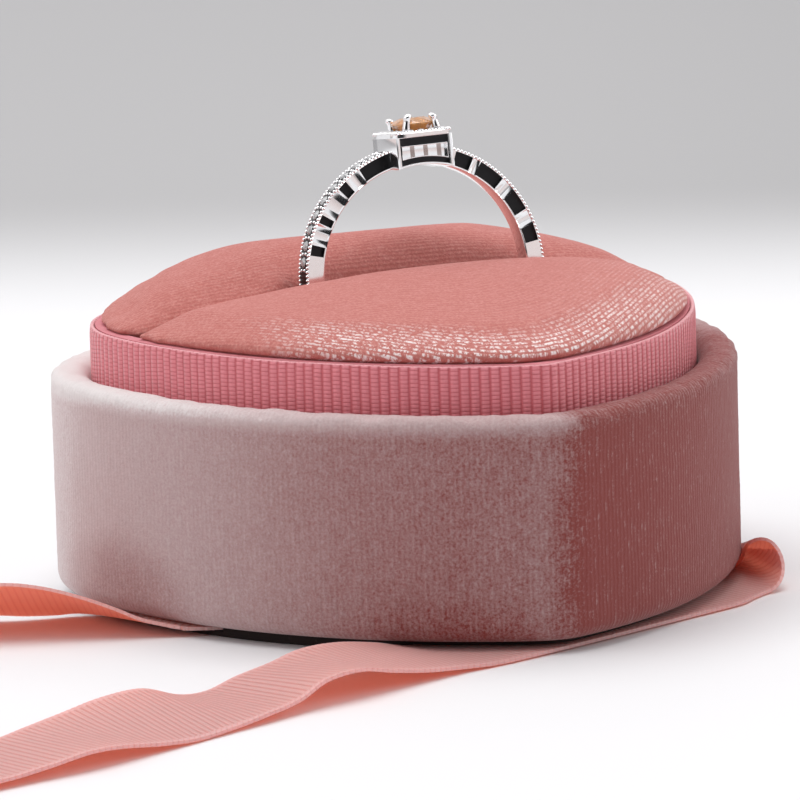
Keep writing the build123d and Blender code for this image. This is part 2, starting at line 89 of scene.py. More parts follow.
# The ring's own frame: X across, Y along the finger, Z to the stone
RING_CENTRE = Vector((0.00185, 0.0064, 0.02443))
RING_LEAN = radians(-7.6)
RING_TURN = radians(-1.4)
RING_PLACE = (
    Matrix.Translation(RING_CENTRE) @ Matrix.Rotation(RING_LEAN, 4, "X") @ Matrix.Rotation(RING_TURN, 4, "Y")
)
RING_IN = 0.0085
RING_OUT = 0.00995
RING_HALF_W = 0.0009
PANEL_DEPTH = 0.00035
PANELS = (
    (-76, -71), (-60.5, -56.5), (-42.5, -37.5), (-29, -13), (21, 30), (34.5, 47.5), (55, 65.5), (73, 81),
)
HEAD_X = 0.0003
HALO_LOW = 0.01072
STONE_STEP = 7.4  # degrees from one stone of the shank to the next

# Tie ribbons, in millimetres: near and far edge points from the glued tab to the free end
RIGHT_TIE = (
    (9.28, 15.01, 0.62, 17.01, 20.54, 0.62), (18.0, 2.8, 0.62, 25.7, 8.3, 0.62),
    (22.71, -3.82, 0.64, 26.98, 7.62, 0.64), (23.04, -4.48, 0.68, 27.45, 6.2, 0.62),
    (23.23, -5.21, 1.1, 27.45, 5.3, 0.62), (23.27, -5.92, 1.75, 27.35, 4.5, 0.62),
    (23.16, -6.58, 2.45, 27.2, 3.8, 0.63), (23.23, -7.36, 3.05, 27.05, 3.1, 0.64),
    (23.52, -8.24, 3.45, 26.85, 2.45, 0.66), (23.93, -9.1, 3.5, 26.65, 1.85, 0.66),
    (24.24, -9.93, 3.15, 26.45, 1.25, 0.64), (24.32, -10.82, 2.45, 26.25, 0.65, 0.58),
    (24.15, -11.51, 1.65, 26.05, 0.05, 0.5), (23.7, -12.08, 0.95, 25.85, -0.5, 0.38),
    (22.98, -12.54, 0.45, 25.5, -1, 0.28), (22.07, -12.93, 0.25, 24.8, -1.9, 0.25),
    (20.34, -14.29, 0.25, 20.7, -4.4, 0.25), (18.4, -15.9, 0.25, 14.4, -7.3, 0.25),
    (13.0, -18.4, 0.25, 9.0, -9.8, 0.25), (7.6, -20.9, 0.25, 3.6, -12.3, 0.25),
    (2.8, -23.1, 0.25, -1.2, -14.5, 0.25), (-1.9, -25.1, 0.25, -5.9, -16.5, 0.25),
    (-6.3, -26.8, 0.25, -10.0, -18.1, 0.27), (-9.5, -27.8, 0.45, -13.2, -19.1, 1.0),
    (-12.9, -29.3, 0.85, -17.0, -20.9, 1.75), (-16.4, -30.9, 1.5, -20.5, -22.4, 1.9),
    (-19.6, -32.4, 2.2, -23.5, -23.7, 1.4), (-22.7, -33.6, 2.0, -26.6, -24.9, 0.95),
    (-25.4, -34.9, 1.05, -29.4, -26.2, 0.43), (-28.6, -36.6, 0.65, -32.2, -27.8, 0.75),
    (-31.8, -38.2, 0.35, -35.7, -29.5, 1.9), (-35.2, -40.0, 0.25, -39.7, -31.8, 2.1),
    (-38.6, -41.7, 0.6, -43.4, -33.6, 1.7), (-42.4, -43.6, 1.2, -46.7, -35.1, 1.3),
    (-45.3, -44.9, 1.35, -49.2, -36.3, 1.0), (-48.7, -46.0, 0.95, -52.2, -37.2, 0.6),
    (-52.9, -47.4, 0.65, -56.3, -38.5, 0.3), (-58.2, -49.3, 0.9, -61.6, -40.5, 0.3),
    (-63.6, -51.4, 1.9, -66.9, -42.6, 0.9), (-68.9, -53.2, 2.2, -72.0, -44.3, 2.0),
    (-74.2, -54.9, 1.2, -77.0, -45.9, 1.9), (-79.7, -56.7, 0.4, -82.5, -47.6, 0.8),
    (-85.4, -58.8, 0.25, -84.9, -48.5, 0.25),
)
LEFT_TIE = (
    (-7.38, -10.78, 0.62, -4.17, -1.84, 0.62), (-21.5, -5.7, 0.62, -18.3, 3.2, 0.62),
    (-23.5, -4.95, 0.75, -25.6, 5.8, 0.64), (-24.6, -4.5, 1.0, -26.6, 6.2, 0.55),
    (-26.3, -3.9, 1.5, -27.6, 6.5, 0.45), (-28.4, -3.2, 2.5, -28.5, 6.7, 0.35),
    (-30.9, -2.3, 3.5, -29.7, 6.8, 0.35), (-33.7, -1.3, 4.3, -31.9, 7.2, 0.45),
    (-36.5, -0.3, 4.6, -34.1, 8.0, 0.6), (-40.3, 1.1, 4.2, -37.5, 9.5, 0.6),
    (-44.6, 2.7, 3.1, -41.5, 11.2, 0.4), (-49.3, 4.4, 1.8, -46.1, 13.2, 0.3),
    (-54.0, 6.1, 0.8, -50.8, 15.0, 0.5), (-59.2, 8.0, 0.3, -56.0, 16.9, 1.2),
    (-64.3, 9.8, 0.3, -61.1, 18.7, 1.5), (-69.5, 11.7, 0.6, -66.3, 20.6, 0.8),
    (-74.7, 13.6, 0.9, -71.5, 22.5, 0.35), (-79.4, 15.3, 0.4, -74.2, 23.3, 0.25),
)


# ---- Sizes and colours ----
def length(name, description, default, low=0.0):
    return FloatProperty(name=name, description=description, default=default, min=low, unit="LENGTH")


def colour(name, description, default):
    return FloatVectorProperty(
        name=name, description=description, default=default, size=3, min=0, max=1, subtype="COLOR"
    )


def chosen():
    """The sizes and colours as they are set."""
    scene = bpy.context.scene
    return scene.ring_box_sizes, scene.ring_box_colours


class RingBoxSizes(bpy.types.PropertyGroup):
    rim_round: length("Rim rounding", "Rounding of the velvet over the rim", 0.0009)
    foot_round: length("Foot rounding", "Rounding of the velvet at the bottom edge", 0.0014)
    collar_pitch: length("Collar rib pitch", "From one rib of the collar to the next", 0.00077, 0.0001)
    tie_pitch: length("Tie rib pitch", "From one rib of a tie ribbon to the next", 0.00058, 0.0001)
    rib_depth: length("Rib depth", "How far the collar's ribs stand out", 0.00008)
    tie_thick: length("Tie thickness", "Thickness of the tie ribbons", 0.00026)
    tie_width: length("Tie width", "Width of the tie ribbons", 0.0095)
    pile_pitch: length("Pile pitch", "From one row of pile to the next", 0.00042, 0.0001)
    cushion_cloth: length("Cushion cloth", "How far the velvet stands off the foam", 0.0006)
    cushion_swell: length("Cushion swell", "Most that a point of the cushion may move as it fills", 0.0004)
    bead_r: length("Bead radius", "Radius of the small beads along the ring", 0.00014)


class RingBoxColours(bpy.types.PropertyGroup):
    velvet: colour("Velvet", "Salmon velvet of the cushion", (0.605, 0.22, 0.19))
    velvet_deep: colour("Velvet, deep", "Between the pile rows of the cushion", (0.46, 0.135, 0.115))
    velvet_pale: colour("Velvet, pale", "Tips of the cushion's pile", (0.72, 0.42, 0.385))
    # Painted shade: the dusty rose as dark as it looks on the shaded flank.
    wrap_shaded_deep: colour("Wrap, deep", "Dusty rose velvet seen into its pile", (0.24, 0.053, 0.047))
    # Painted sheen: the dusty rose as pale as it looks where light and sheen fall.
    wrap_sheen_pale: colour("Wrap, pale", "Dusty rose velvet seen along its pile", (0.72, 0.62, 0.62))
    # Painted highlight of single fibres, on both velvets.
    glint: colour("Glint", "Single fibres that catch the light", (0.95, 0.88, 0.87))
    collar: colour("Collar", "Pink ribbed ribbon of the collar", (0.80, 0.265, 0.30))
    # Painted shade in the collar's grooves and between its threads.
    collar_groove_shade: colour("Collar grooves", "Between the ribs of the collar", (0.55, 0.085, 0.10))
    # Painted sheen: the coral as pale as it looks on top in the light.
    tie: colour("Tie", "Coral ribbed tie ribbon", (0.96, 0.73, 0.70))
    # Painted shade in the tie's grooves and between its threads.
    tie_groove_shade: colour("Tie grooves", "Between the ribs of the tie ribbon", (0.80, 0.36, 0.32))
    # The coral itself, seen under the ribbon, without the painted sheen of the top.
    tie_under: colour("Tie, underside", "More deeply dyed underside of the tie ribbon", (0.90, 0.33, 0.25))
    tie_lit: colour("Tie, lit through", "Light that has passed through the tie ribbon", (0.88, 0.31, 0.22))
    silver: colour("Silver", "Polished white metal", (0.90, 0.90, 0.91))
    recess: colour("Recess", "Darkened metal in the panels", (0.03, 0.03, 0.032))
    stone: colour("Centre stone", "Peach stone", (0.90, 0.42, 0.13))
    # Near black: partly the board itself, partly painted shade, as it shows as the dark band under the velvet's
    # foot.
    board: colour("Underside board", "Dark paper board", (0.022, 0.014, 0.013))
    floor: colour("Floor", "Plain pale floor", (0.83, 0.82, 0.83))
    backdrop: colour("Backdrop", "Grey beyond the floor", (0.44, 0.432, 0.436))


# ---- Mesh helpers ----
def progress(value, start, end):
    """How far a value has come from start to end, held between 0 and 1."""
    return min(1.0, max(0.0, (value - start) / (end - start)))


def rough(x, y, z):
    """Smooth noise at a point, between about -1 and 1."""
    return noise.noise(Vector((x, y, z)))


def nothing_selected():
    """Object mode, with no object selected."""
    if bpy.context.object and bpy.context.object.mode != "OBJECT":
        bpy.ops.object.mode_set(mode="OBJECT")
    bpy.ops.object.select_all(action="DESELECT")


def only(obj):
    """The object is selected and active, alone."""
    nothing_selected()
    obj.hide_viewport = False
    obj.select_set(True)
    bpy.context.view_layer.objects.active = obj


def named(name):
    """The active object and its mesh get a name."""
    obj = bpy.context.object
    obj.name = name
    obj.data.name = name
    return obj


def cleaned(obj, near=1e-7):
    """Doubles merged and faces turned outwards."""
    only(obj)
    bpy.ops.object.mode_set(mode="EDIT")
    bpy.ops.mesh.select_all(action="SELECT")
    bpy.ops.mesh.remove_doubles(threshold=near)
    bpy.ops.mesh.normals_make_consistent(inside=False)
    bpy.ops.object.mode_set(mode="OBJECT")
    return obj


def sheet_of(name, columns, rows, place, uv):
    """A grid whose points go where place(column, row) says, with uv(column, row) in metres."""
    nothing_selected()
    bpy.ops.mesh.primitive_grid_add(x_subdivisions=columns, y_subdivisions=rows, size=2.0)
    obj = named(name)
    mesh = obj.data
    cells = []
    for vertex in mesh.vertices:
        column = round((vertex.co.x + 1) / 2 * columns)
        row = round((vertex.co.y + 1) / 2 * rows)
        cells.append((column, row))
        vertex.co = place(column, row)
    layer = mesh.uv_layers[0]
    for loop in mesh.loops:
        layer.data[loop.index].uv = uv(*cells[loop.vertex_index])
    mesh.update()
    return obj


def smooth(obj, angle=180.0):
    """Smooth shading, with edges sharper than the angle kept sharp."""
    only(obj)
    if angle >= 180:
        bpy.ops.object.shade_smooth()
    else:
        bpy.ops.object.shade_smooth_by_angle(angle=radians(angle))
    return obj


def with_modifier(obj, kind, **values):
    """A modifier with these values, applied at once."""
    only(obj)
    modifier = obj.modifiers.new(kind.title(), kind)
    for key, value in values.items():
        setattr(modifier, key, value)
    bpy.ops.object.modifier_apply(modifier=modifier.name)
    return obj


def settled(obj, matrix=None):
    """The object's place goes into its mesh."""
    if matrix is not None:
        obj.matrix_world = matrix @ obj.matrix_world
    only(obj)
    bpy.ops.object.transform_apply(location=True, rotation=True, scale=True)
    return obj


def joined(name, objects):
    """The objects as one, under a new name."""
    nothing_selected()
    for obj in objects:
        obj.select_set(True)
    bpy.context.view_layer.objects.active = objects[0]
    bpy.ops.object.join()
    return named(name)


def copy_of_node(name, node):
    """A merged copy of a CAD node's mesh."""
    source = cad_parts[node]
    obj = bpy.data.objects.new(name, source.data.copy())
    obj.data.name = name
    bpy.context.scene.collection.objects.link(obj)
    return cleaned(obj, 1e-6)


def finished(obj, body, slot, materials, *nodes):
    """The piece gets its materials, keeping which face has which, and its body; the slot is not used."""
    marks = [face.material_index for face in obj.data.polygons]
    obj.data.materials.clear()
    for one in materials:
        obj.data.materials.append(one)
    if len(materials) > 1:
        obj.data.polygons.foreach_set("material_index", marks)
    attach(obj, body)
    if nodes:
        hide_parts(*nodes)
    return obj


# ---- The heart outline ----
def facing(start, end):
    """Direction from one point to another."""
    return atan2(end.y - start.y, end.x - start.x)


def outline_arcs():
    """Centre, radius, whether an inset widens it, and first and last direction of the right half's arcs."""
    lobe = Vector((LOBE_X, 0))
    tip = Vector((0, TIP_Y))
    shift = LOBE_R - CROWN_R
    crown = Vector((LOBE_X + shift * cos(CROWN_FROM), shift * sin(CROWN_FROM)))
    notch = Vector((0, crown.y + sqrt((CROWN_R + NOTCH_R) ** 2 - crown.x**2)))
    to_lobe = FLANK_R - LOBE_R
    to_tip = FLANK_R - TIP_R
    apart = tip - lobe
    along = (to_lobe**2 - to_tip**2 + apart.length_squared) / (2 * apart.length)
    aside = sqrt(to_lobe**2 - along**2)
    toward = apart.normalized()
    flank = lobe + toward * along + Vector((toward.y, -toward.x)) * aside
    return (
        (notch, NOTCH_R, 1, -pi / 2, facing(notch, crown)),
        (crown, CROWN_R, -1, facing(crown, notch), CROWN_FROM),
        (lobe, LOBE_R, -1, CROWN_FROM, facing(flank, lobe)),
        (flank, FLANK_R, -1, facing(flank, lobe), facing(flank, tip)),
        (tip, TIP_R, -1, facing(flank, tip), -pi / 2),
    )


ARCS = outline_arcs()


def outline(step):
    """Places from the notch past the right lobe, each (centre, radius, widens, direction, side)."""
    right = []
    for centre, radius, widens, first, last in ARCS:
        parts = max(2, round(abs(last - first) * radius / step))
        for k in range(parts):
            right.append((centre, radius, widens, first + (last - first) * k / parts, 1))
    centre, radius, widens, _, last = ARCS[-1]
    left = [(c, r, w, a, -1) for c, r, w, a, _ in right[1:]]
    return right + [(centre, radius, widens, last, 1)] + left[::-1]


def on_outline(place, inset, z=0.0):
    """Point at an inset and height beside a place of the outline."""
    centre, radius, widens, angle, side = place
    reach = radius + widens * inset
    x = centre.x + reach * cos(angle)
    return Vector((side * x, LOBE_LINE_Y + centre.y + reach * sin(angle), z))


def depth_at(x, y):
    """How far inside the outline a point is, and the way out."""
    depth, out = 1.0, Vector((1, 0))
    for centre, radius, widens, first, last in ARCS:
        off = Vector((abs(x), y - LOBE_LINE_Y)) - centre
        found = (off.length - radius) * widens
        faces = min(first, last) - 0.02 <= atan2(off.y, off.x) <= max(first, last) + 0.02
        if faces and abs(found) < abs(depth):
            depth, out = found, off.normalized() * -widens
    return depth, Vector((out.x if x >= 0 else -out.x, out.y, 0))


def lengths_along(points, closed=True):
    """Length from the first point to each of them, and around to the first again if closed."""
    total = [0.0]
    for k in range(1, len(points) + int(closed)):
        total.append(total[-1] + (points[k % len(points)] - points[k - 1]).length)
    return total


def lengths_up(profile):
    """Length along a profile to each of its points."""
    return lengths_along([Vector(point) for point in profile], closed=False)


def around_heart(name, step, profile, bump, inset=0.0):
    """A skin that follows the heart: profile is a row of (inset, height), and bump roughens each point."""
    places = outline(step)
    count = len(places)
    along = lengths_along([on_outline(place, inset) for place in places])
    up = lengths_up(profile)

    def place(column, row):
        depth, height = bump(along[column], column % count, row, *profile[row])
        return on_outline(places[column % count], depth, height)

    return cleaned(sheet_of(name, count, len(profile) - 1, place, lambda c, r: (along[c], up[r])))


def quarter(inset, height, radius, first, last, parts):
    """Points of a rounded edge about a centre at an inset and height."""
    points = []
    for k in range(parts + 1):
        angle = radians(first + (last - first) * k / parts)
        points.append((inset - radius * cos(angle), height + radius * sin(angle)))
    return points


# ---- Node helpers ----
class Net:
    """Adds and links the nodes of one material, group or world."""

    def __init__(self, tree):
        self.tree = tree

    def put(self, socket, value):
        """Another node's output is linked to the socket; a plain value is set on it."""
        if isinstance(value, bpy.types.NodeSocket):
            self.tree.links.new(value, socket)
        elif socket.type == "RGBA":
            socket.default_value = (*value[:3], 1.0)
        else:
            socket.default_value = value

    def fill(self, sockets, **values):
        for key, value in values.items():
            self.put(sockets[key], value)

    def add(self, kind, inputs=None, **settings):
        """A new node with these inputs and settings; its outputs are given back."""
        node = self.tree.nodes.new("ShaderNode" + kind)
        for key, value in settings.items():
            setattr(node, key, value)
        for key, value in (inputs or {}).items():
            self.put(node.inputs[key], value)
        return node.outputs

    def use(self, name, **inputs):
        """A node that stands for a whole group."""
        node = self.tree.nodes.new("ShaderNodeGroup")
        node.node_tree = bpy.data.node_groups[name]
        self.fill(node.inputs, **inputs)
        return node.outputs

    def maths(self, operation, *values, clamp=False):
        return self.add("Math", dict(enumerate(values)), operation=operation, use_clamp=clamp)[0]

    def times(self, a, b, plus=None, clamp=False):
        """The product of two values, with a third added if it is given."""
        if plus is None:
            return self.maths("MULTIPLY", a, b)
        return self.maths("MULTIPLY_ADD", a, b, plus, clamp=clamp)

    def plus(self, a, b, clamp=False):
        return self.maths("ADD", a, b, clamp=clamp)

    def minus(self, a, b):
        return self.maths("SUBTRACT", a, b)

    def over(self, a, b):
        return self.maths("DIVIDE", a, b)

    def swell(self, value):
        """Up and down again once in each unit."""
        return self.maths("ABSOLUTE", self.maths("SINE", self.times(value, pi)))

    def summed(self, *parts):
        """Sum of (value, middle, gain)."""
        total = 0.0
        for value, middle, gain in parts:
            total = self.times(self.minus(value, middle), gain, total)
        return total

    def blend(self, factor, a, b):
        """Colour between a and b."""
        return self.add("Mix", {0: factor, 6: a, 7: b}, data_type="RGBA")[2]

    def ramped(self, value, low, high, to_low=0.0, to_high=1.0):
        """A soft step from one value to another."""
        inputs = {0: value, 1: low, 2: high, 3: to_low, 4: to_high}
        return self.add("MapRange", inputs, interpolation_type="SMOOTHSTEP")[0]

    def noisy(self, vector, scale, detail=2.0, roughness=0.5, stretch=None):
        """Noise, finer along an axis whose stretch is greater."""
        if stretch:
            vector = self.add("Mapping", {"Vector": vector, "Scale": stretch})[0]
        inputs = {"Vector": vector, "Scale": scale, "Detail": detail, "Roughness": roughness}
        return self.add("TexNoise", inputs)[0]

    def split(self, vector):
        return self.add("SeparateXYZ", {0: vector})

    def bumped(self, height, distance, strength):
        return self.add("Bump", {"Height": height, "Distance": distance, "Strength": strength})[0]

    def principled(self, body, **inputs):
        """A Principled shader; the words of an input's name are joined by underscores."""
        named_inputs = {key.replace("_", " "): value for key, value in inputs.items()}
        return self.add("BsdfPrincipled", {"Base Color": body, **named_inputs})[0]

    def end(self, shader):
        self.add("OutputMaterial", {"Surface": shader})


def group(name, vectors, values, outputs):
    """An empty node group with vectors and numbers going in and numbers coming out."""
    tree = bpy.data.node_groups.new(name, "ShaderNodeTree")
    for socket in vectors:
        tree.interface.new_socket(socket, in_out="INPUT", socket_type="NodeSocketVector")
    for socket, default in values.items():
        made = tree.interface.new_socket(socket, in_out="INPUT", socket_type="NodeSocketFloat")
        made.default_value = default
    for socket in outputs:
        tree.interface.new_socket(socket, in_out="OUTPUT", socket_type="NodeSocketFloat")
    return Net(tree), tree.nodes.new("NodeGroupInput").outputs, tree.nodes.new("NodeGroupOutput").inputs


def make_grosgrain():
    """Ribs across a ribbon with its fine threads and rope-like edges; U across and V along, in metres."""
    values = {"Pitch": 0.00077, "Thread": 0.00032, "Width": 0.0095, "Edge": 0.0004}
    net, given, out = group("Grosgrain", ["UV"], values, ["Height", "Groove", "Edge", "Thread"])
    across, along = net.split(given["UV"])[:2]
    along = net.times(net.noisy(given["UV"], 120.0, 1.0), 0.00016, along)
    ribs = net.over(along, given["Pitch"])
    rib = net.swell(ribs)
    crest = net.maths("POWER", rib, 0.7)
    # The threads of each rib sit a little higher or lower than its neighbour's.
    odd = net.times(net.maths("SINE", net.times(net.maths("FLOOR", ribs), 2.3)), 0.45)
    thread = net.maths("POWER", net.swell(net.plus(net.over(across, given["Thread"]), odd)), 0.6)
    fibre = net.noisy(given["UV"], 9000.0, stretch=(1.0, 0.12, 1.0))
    near_edge = net.maths("MINIMUM", across, net.minus(given["Width"], across))
    edge = net.ramped(near_edge, given["Edge"], net.times(given["Edge"], 0.6))
    inside = net.minus(1.0, edge)
    # Along the edges the weft turns back like a fine rope.
    rope = net.swell(net.over(net.times(near_edge, 0.8, along), given["Pitch"]))
    woven = net.times(crest, 0.55, net.times(net.times(thread, 0.5), crest))
    height = net.add("Mix", {0: edge, 2: woven, 3: net.times(rope, 0.5, 0.45)})[0]
    # Where painted shade goes: the grooves between ribs, between rope twists and between threads.
    ribbed = net.times(net.ramped(rib, 0.75, 0.05), inside)
    roped = net.times(net.ramped(rope, 0.5, 0.05), net.times(edge, 0.5))
    gap = net.times(net.ramped(thread, 0.85, 0.2), inside)
    net.fill(
        out,
        Height=net.times(fibre, 0.12, height),
        Groove=net.plus(ribbed, roped, clamp=True),
        Edge=edge,
        Thread=net.times(fibre, 0.25, gap),
    )


def make_pile():
    """Velvet: rows of pile in tufts, with a crushed grain; X across the rows and Y along, in metres."""
    values = {"Pitch": 0.00042, "Wander": 0.6, "Run": 1300.0}
    outputs = ["Height", "Row", "Tuft", "Grain", "Mottle", "Streak"]
    net, given, out = group("Velvet pile", ["Vector", "Place"], values, outputs)
    across, along = net.split(given["Vector"])[:2]
    warp = net.times(net.minus(net.noisy(given["Place"], 420.0), 0.5), given["Wander"])
    rows = net.plus(net.over(across, given["Pitch"]), warp)
    row = net.times(net.maths("SINE", net.times(rows, 2 * pi)), 0.5, 0.5)
    number = net.maths("FLOOR", net.plus(rows, 0.25))
    cell = net.add("CombineXYZ", {0: net.times(number, 7.3), 1: net.times(along, given["Run"])})[0]
    tuft = net.noisy(cell, 1.0, 2.0, 0.6)
    grain = net.noisy(given["Place"], 5200.0, 3.0, 0.7)
    mottle = net.noisy(given["Place"], 1150.0, 3.0, 0.6)
    height = net.times(mottle, 0.5, net.times(row, 0.25, net.times(tuft, 0.4)))
    # Where glints are painted: bright tufts along the crest of each row.
    streak = net.times(net.ramped(tuft, 0.50, 0.72), net.ramped(grain, 0.30, 0.60))
    net.fill(
        out,
        Height=net.times(grain, 0.6, height),
        Row=row,
        Tuft=tuft,
        Grain=grain,
        Mottle=mottle,
        Streak=net.times(streak, net.ramped(row, 0.72, 1.0)),
    )


def make_polish():
    """Fine scratches and a haze of polish on metal."""
    net, given, out = group("Polish", ["Vector"], {"Rough": 0.1}, ["Roughness", "Height", "Dust"])
    streak = net.noisy(given["Vector"], 3000.0, 3.0, 0.6, stretch=(1.0, 6.0, 1.0))
    haze = net.noisy(given["Vector"], 600.0, 3.0, 0.6)
    roughness = net.times(streak, 0.05, net.times(haze, 0.10, given["Rough"]))
    net.fill(out, Roughness=roughness, Height=streak, Dust=haze)


def make_fibre():
    """Pressed paper or card: short fibres, flecks and a faint cloud."""
    net, given, out = group("Pressed fibre", ["Vector"], {}, ["Height", "Cloud", "Fleck"])
    net.fill(
        out,
        Height=net.noisy(given["Vector"], 5200.0, 4.0, 0.7, stretch=(1.0, 0.35, 1.0)),
        Cloud=net.noisy(given["Vector"], 260.0, 3.0),
        Fleck=net.ramped(net.noisy(given["Vector"], 3000.0), 0.66, 0.74),
    )


# ---- Materials ----
def material(name):
    """A new material, its empty net of nodes, and its Object and UV coordinates."""
    made = bpy.data.materials.new(name)
    made.use_nodes = True
    made.node_tree.nodes.clear()
    net = Net(made.node_tree)
    coords = net.add("TexCoord")
    return made, net, coords["Object"], coords["UV"]


def velvet_surface(net, body, pile, sheen, gloss):
    """The matt sheen of velvet, glossier where fibres glint."""
    net.end(
        net.principled(
            body,
            Roughness=net.times(gloss, -0.5, 0.95),
            Specular_IOR_Level=0.15,
            Sheen_Weight=sheen,
            Sheen_Roughness=0.5,
            Sheen_Tint=(1.0, 0.92, 0.92),
            Normal=net.bumped(pile["Height"], 0.00011, 0.7),
        )
    )


# Painted light and shade along the outline, from the notch past the right lobe, the tip and the left lobe:
# painted shade on the right flank, painted sheen towards the left lobe, partly also the lean of the nap
NAP_AND_PAINTED_LIGHT = (
    (0.0, 0.50), (0.14, 0.35), (0.28, 0.04), (0.37, 0.0), (0.48, 0.0), (0.49, 0.04),
    (0.511, 0.27), (0.52, 0.22), (0.56, 0.29), (0.606, 0.36), (0.646, 0.48), (0.69, 0.60),
    (0.735, 0.68), (0.775, 0.88), (0.84, 1.0), (0.93, 0.66), (1.0, 0.5),
)
# Patches of another tone: place and reach along and up, as shares, and how much paler
BRUSHED = (
    ((0.727, 0.22), (0.055, 0.34), -0.2),
    ((0.56, 0.14), (0.07, 0.26), -0.10),
    ((0.52, 0.62), (0.03, 0.5), 0.05),
)


def wrap_velvet(girth, height):
    """Velvet around the base, with light and shade painted along it: dark on one side and pale on the other,
    partly also from the lean of its pile.
    """
    made, net, place, uv = material("Dusty rose velvet")
    sizes, colours = chosen()
    pile = net.use("Velvet pile", Vector=uv, Place=place, Pitch=sizes.pile_pitch, Run=620.0)
    along, up = net.split(uv)[:2]
    drift = net.minus(net.noisy(place, 210.0, 3.0, 0.6), 0.5)
    u = net.times(drift, 0.020, net.over(along, girth))
    v = net.over(up, height)
    ramp = net.tree.nodes.new("ShaderNodeValToRGB")
    net.put(ramp.inputs[0], u)
    elements = ramp.color_ramp.elements
    while len(elements) < len(NAP_AND_PAINTED_LIGHT):
        elements.new(0.5)
    for element, (at, value) in zip(elements, NAP_AND_PAINTED_LIGHT):
        element.position = at
        element.color = (value, value, value, 1)
    nap_and_painted_light = ramp.outputs[0]
    for at, size, gain in BRUSHED:
        x, y = (net.over(net.minus(value, at[k]), size[k]) for k, value in enumerate((u, v)))
        reach = net.times(x, x, net.times(y, y))
        nap_and_painted_light = net.times(net.ramped(reach, 1.0, 0.0), gain, nap_and_painted_light)
    # Painted highlight: the top of the rim is paler, the more so where the painted light is pale; the foot is a
    # little paler as well.
    rim = net.times(net.ramped(v, 0.93, 1.0), net.ramped(nap_and_painted_light, 0.02, 0.2, 0.3, 1.0))
    nap_and_painted_light = net.times(net.ramped(v, 0.14, 0.04), 0.16, net.times(rim, 0.34, nap_and_painted_light))
    # Where the painted light is pale the cloth is even; where it is dark, rows and tufts show.
    calm = net.ramped(nap_and_painted_light, 0.15, 0.75, 1.0, 0.45)
    crush = net.noisy(place, 2300.0, 2.0, 0.6, stretch=(0.8, 0.8, 1.2))
    tone = net.summed(
        (pile["Grain"], 0.5, 0.8), (crush, 0.5, 0.28), (pile["Tuft"], 0.5, 0.16), (pile["Row"], 0.5, 0.05)
    )
    nap_and_painted_light = net.times(tone, calm, net.minus(nap_and_painted_light, 0.07), clamp=True)
    # From the painted shade to the painted sheen, and whiter still where the painted light is palest.
    body = net.blend(nap_and_painted_light, colours.wrap_shaded_deep, colours.wrap_sheen_pale)
    body = net.blend(net.ramped(nap_and_painted_light, 0.72, 1.0, 0.0, 0.8), body, (0.76, 0.71, 0.70))
    # Painted glints: streaks of single fibres painted near white, mostly where the painted light is dark.
    streak = net.times(pile["Streak"], net.ramped(nap_and_painted_light, 0.05, 0.4, 0.15, 0.04))
    velvet_surface(net, net.blend(streak, body, colours.glint), pile, 0.25, streak)
    return made


def cushion_velvet(name):
    """Velvet of one cushion half: fine rows run across it, and glints are painted where it turns down to the
    collar.
    """
    made, net, place, _ = material(name)
    sizes, colours = chosen()
    across, along, shown = net.split(net.add("Attribute", attribute_name="lie")["Vector"])
    brim = net.add("Attribute", attribute_name="brim")["Fac"]
    vector = net.add("CombineXYZ", {0: across, 1: along})[0]
    pile = net.use("Velvet pile", Vector=vector, Place=place, Pitch=sizes.pile_pitch, Run=3600.0, Wander=0.5)
    tuft, row = pile["Tuft"], pile["Row"]
    hairs = net.noisy(place, 4200.0, 2.0, 0.6, stretch=(1.0, 1.0, 0.45))
    tone = net.summed(
        (pile["Grain"], 0.5, 1.2),
        (hairs, 0.5, 0.9),
        (pile["Mottle"], 0.5, 0.5),
        (net.times(row, shown), 0.2, 0.25),
    )
    body = net.blend(net.plus(tone, 0.5, clamp=True), colours.velvet_deep, colours.velvet)
    body = net.blend(net.times(tone, 0.6, 0.06, clamp=True), body, colours.velvet_pale)
    # Painted glints: fibres painted near white, dense low down towards the viewer, sparse along the rows
    # elsewhere.
    glint = net.times(net.ramped(tuft, 0.38, 0.55), net.ramped(hairs, 0.40, 0.55))
    glint = net.times(glint, net.ramped(row, 0.1, 0.55))
    dashes = net.times(net.ramped(tuft, 0.46, 0.62), net.ramped(row, 0.55, 0.95))
    sparse = net.times(net.times(dashes, shown), 0.22)
    glint = net.times(glint, net.times(brim, 0.8), sparse, clamp=True)
    velvet_surface(net, net.blend(glint, body, colours.glint), pile, 0.16, glint)
    return made


def ribbon_material(name, top, deep, weave, depth, lit=None, share=0.0):
    """Grosgrain; a share of the light passes through a thin ribbon and comes out coloured."""
    made, net, place, uv = material(name)
    weave = net.use("Grosgrain", UV=uv, **weave)
    body = net.blend(net.times(weave["Edge"], 0.35), top, (0.98, 0.72, 0.74))
    # Painted shade between the threads and in the grooves between ribs and rope twists, with a faint random
    # tone.
    for value, gain in ((weave["Thread"], 0.5), (weave["Groove"], 0.75), (net.noisy(place, 150.0), 0.10)):
        body = net.blend(net.times(value, gain), body, deep)
    shader = net.principled(
        body,
        Roughness=net.times(weave["Groove"], 0.2, 0.5),
        Specular_IOR_Level=0.35,
        Sheen_Weight=0.35,
        Sheen_Roughness=0.4,
        Sheen_Tint=(1.0, 0.93, 0.92),
        Normal=net.bumped(weave["Height"], depth, 0.9),
    )
    if lit:
        glow = net.blend(net.times(weave["Groove"], 0.35), lit, deep)
        through = net.add("BsdfTranslucent", {"Color": glow})[0]
        shader = net.add("MixShader", {0: share, 1: shader, 2: through})[0]
    net.end(shader)
    return made


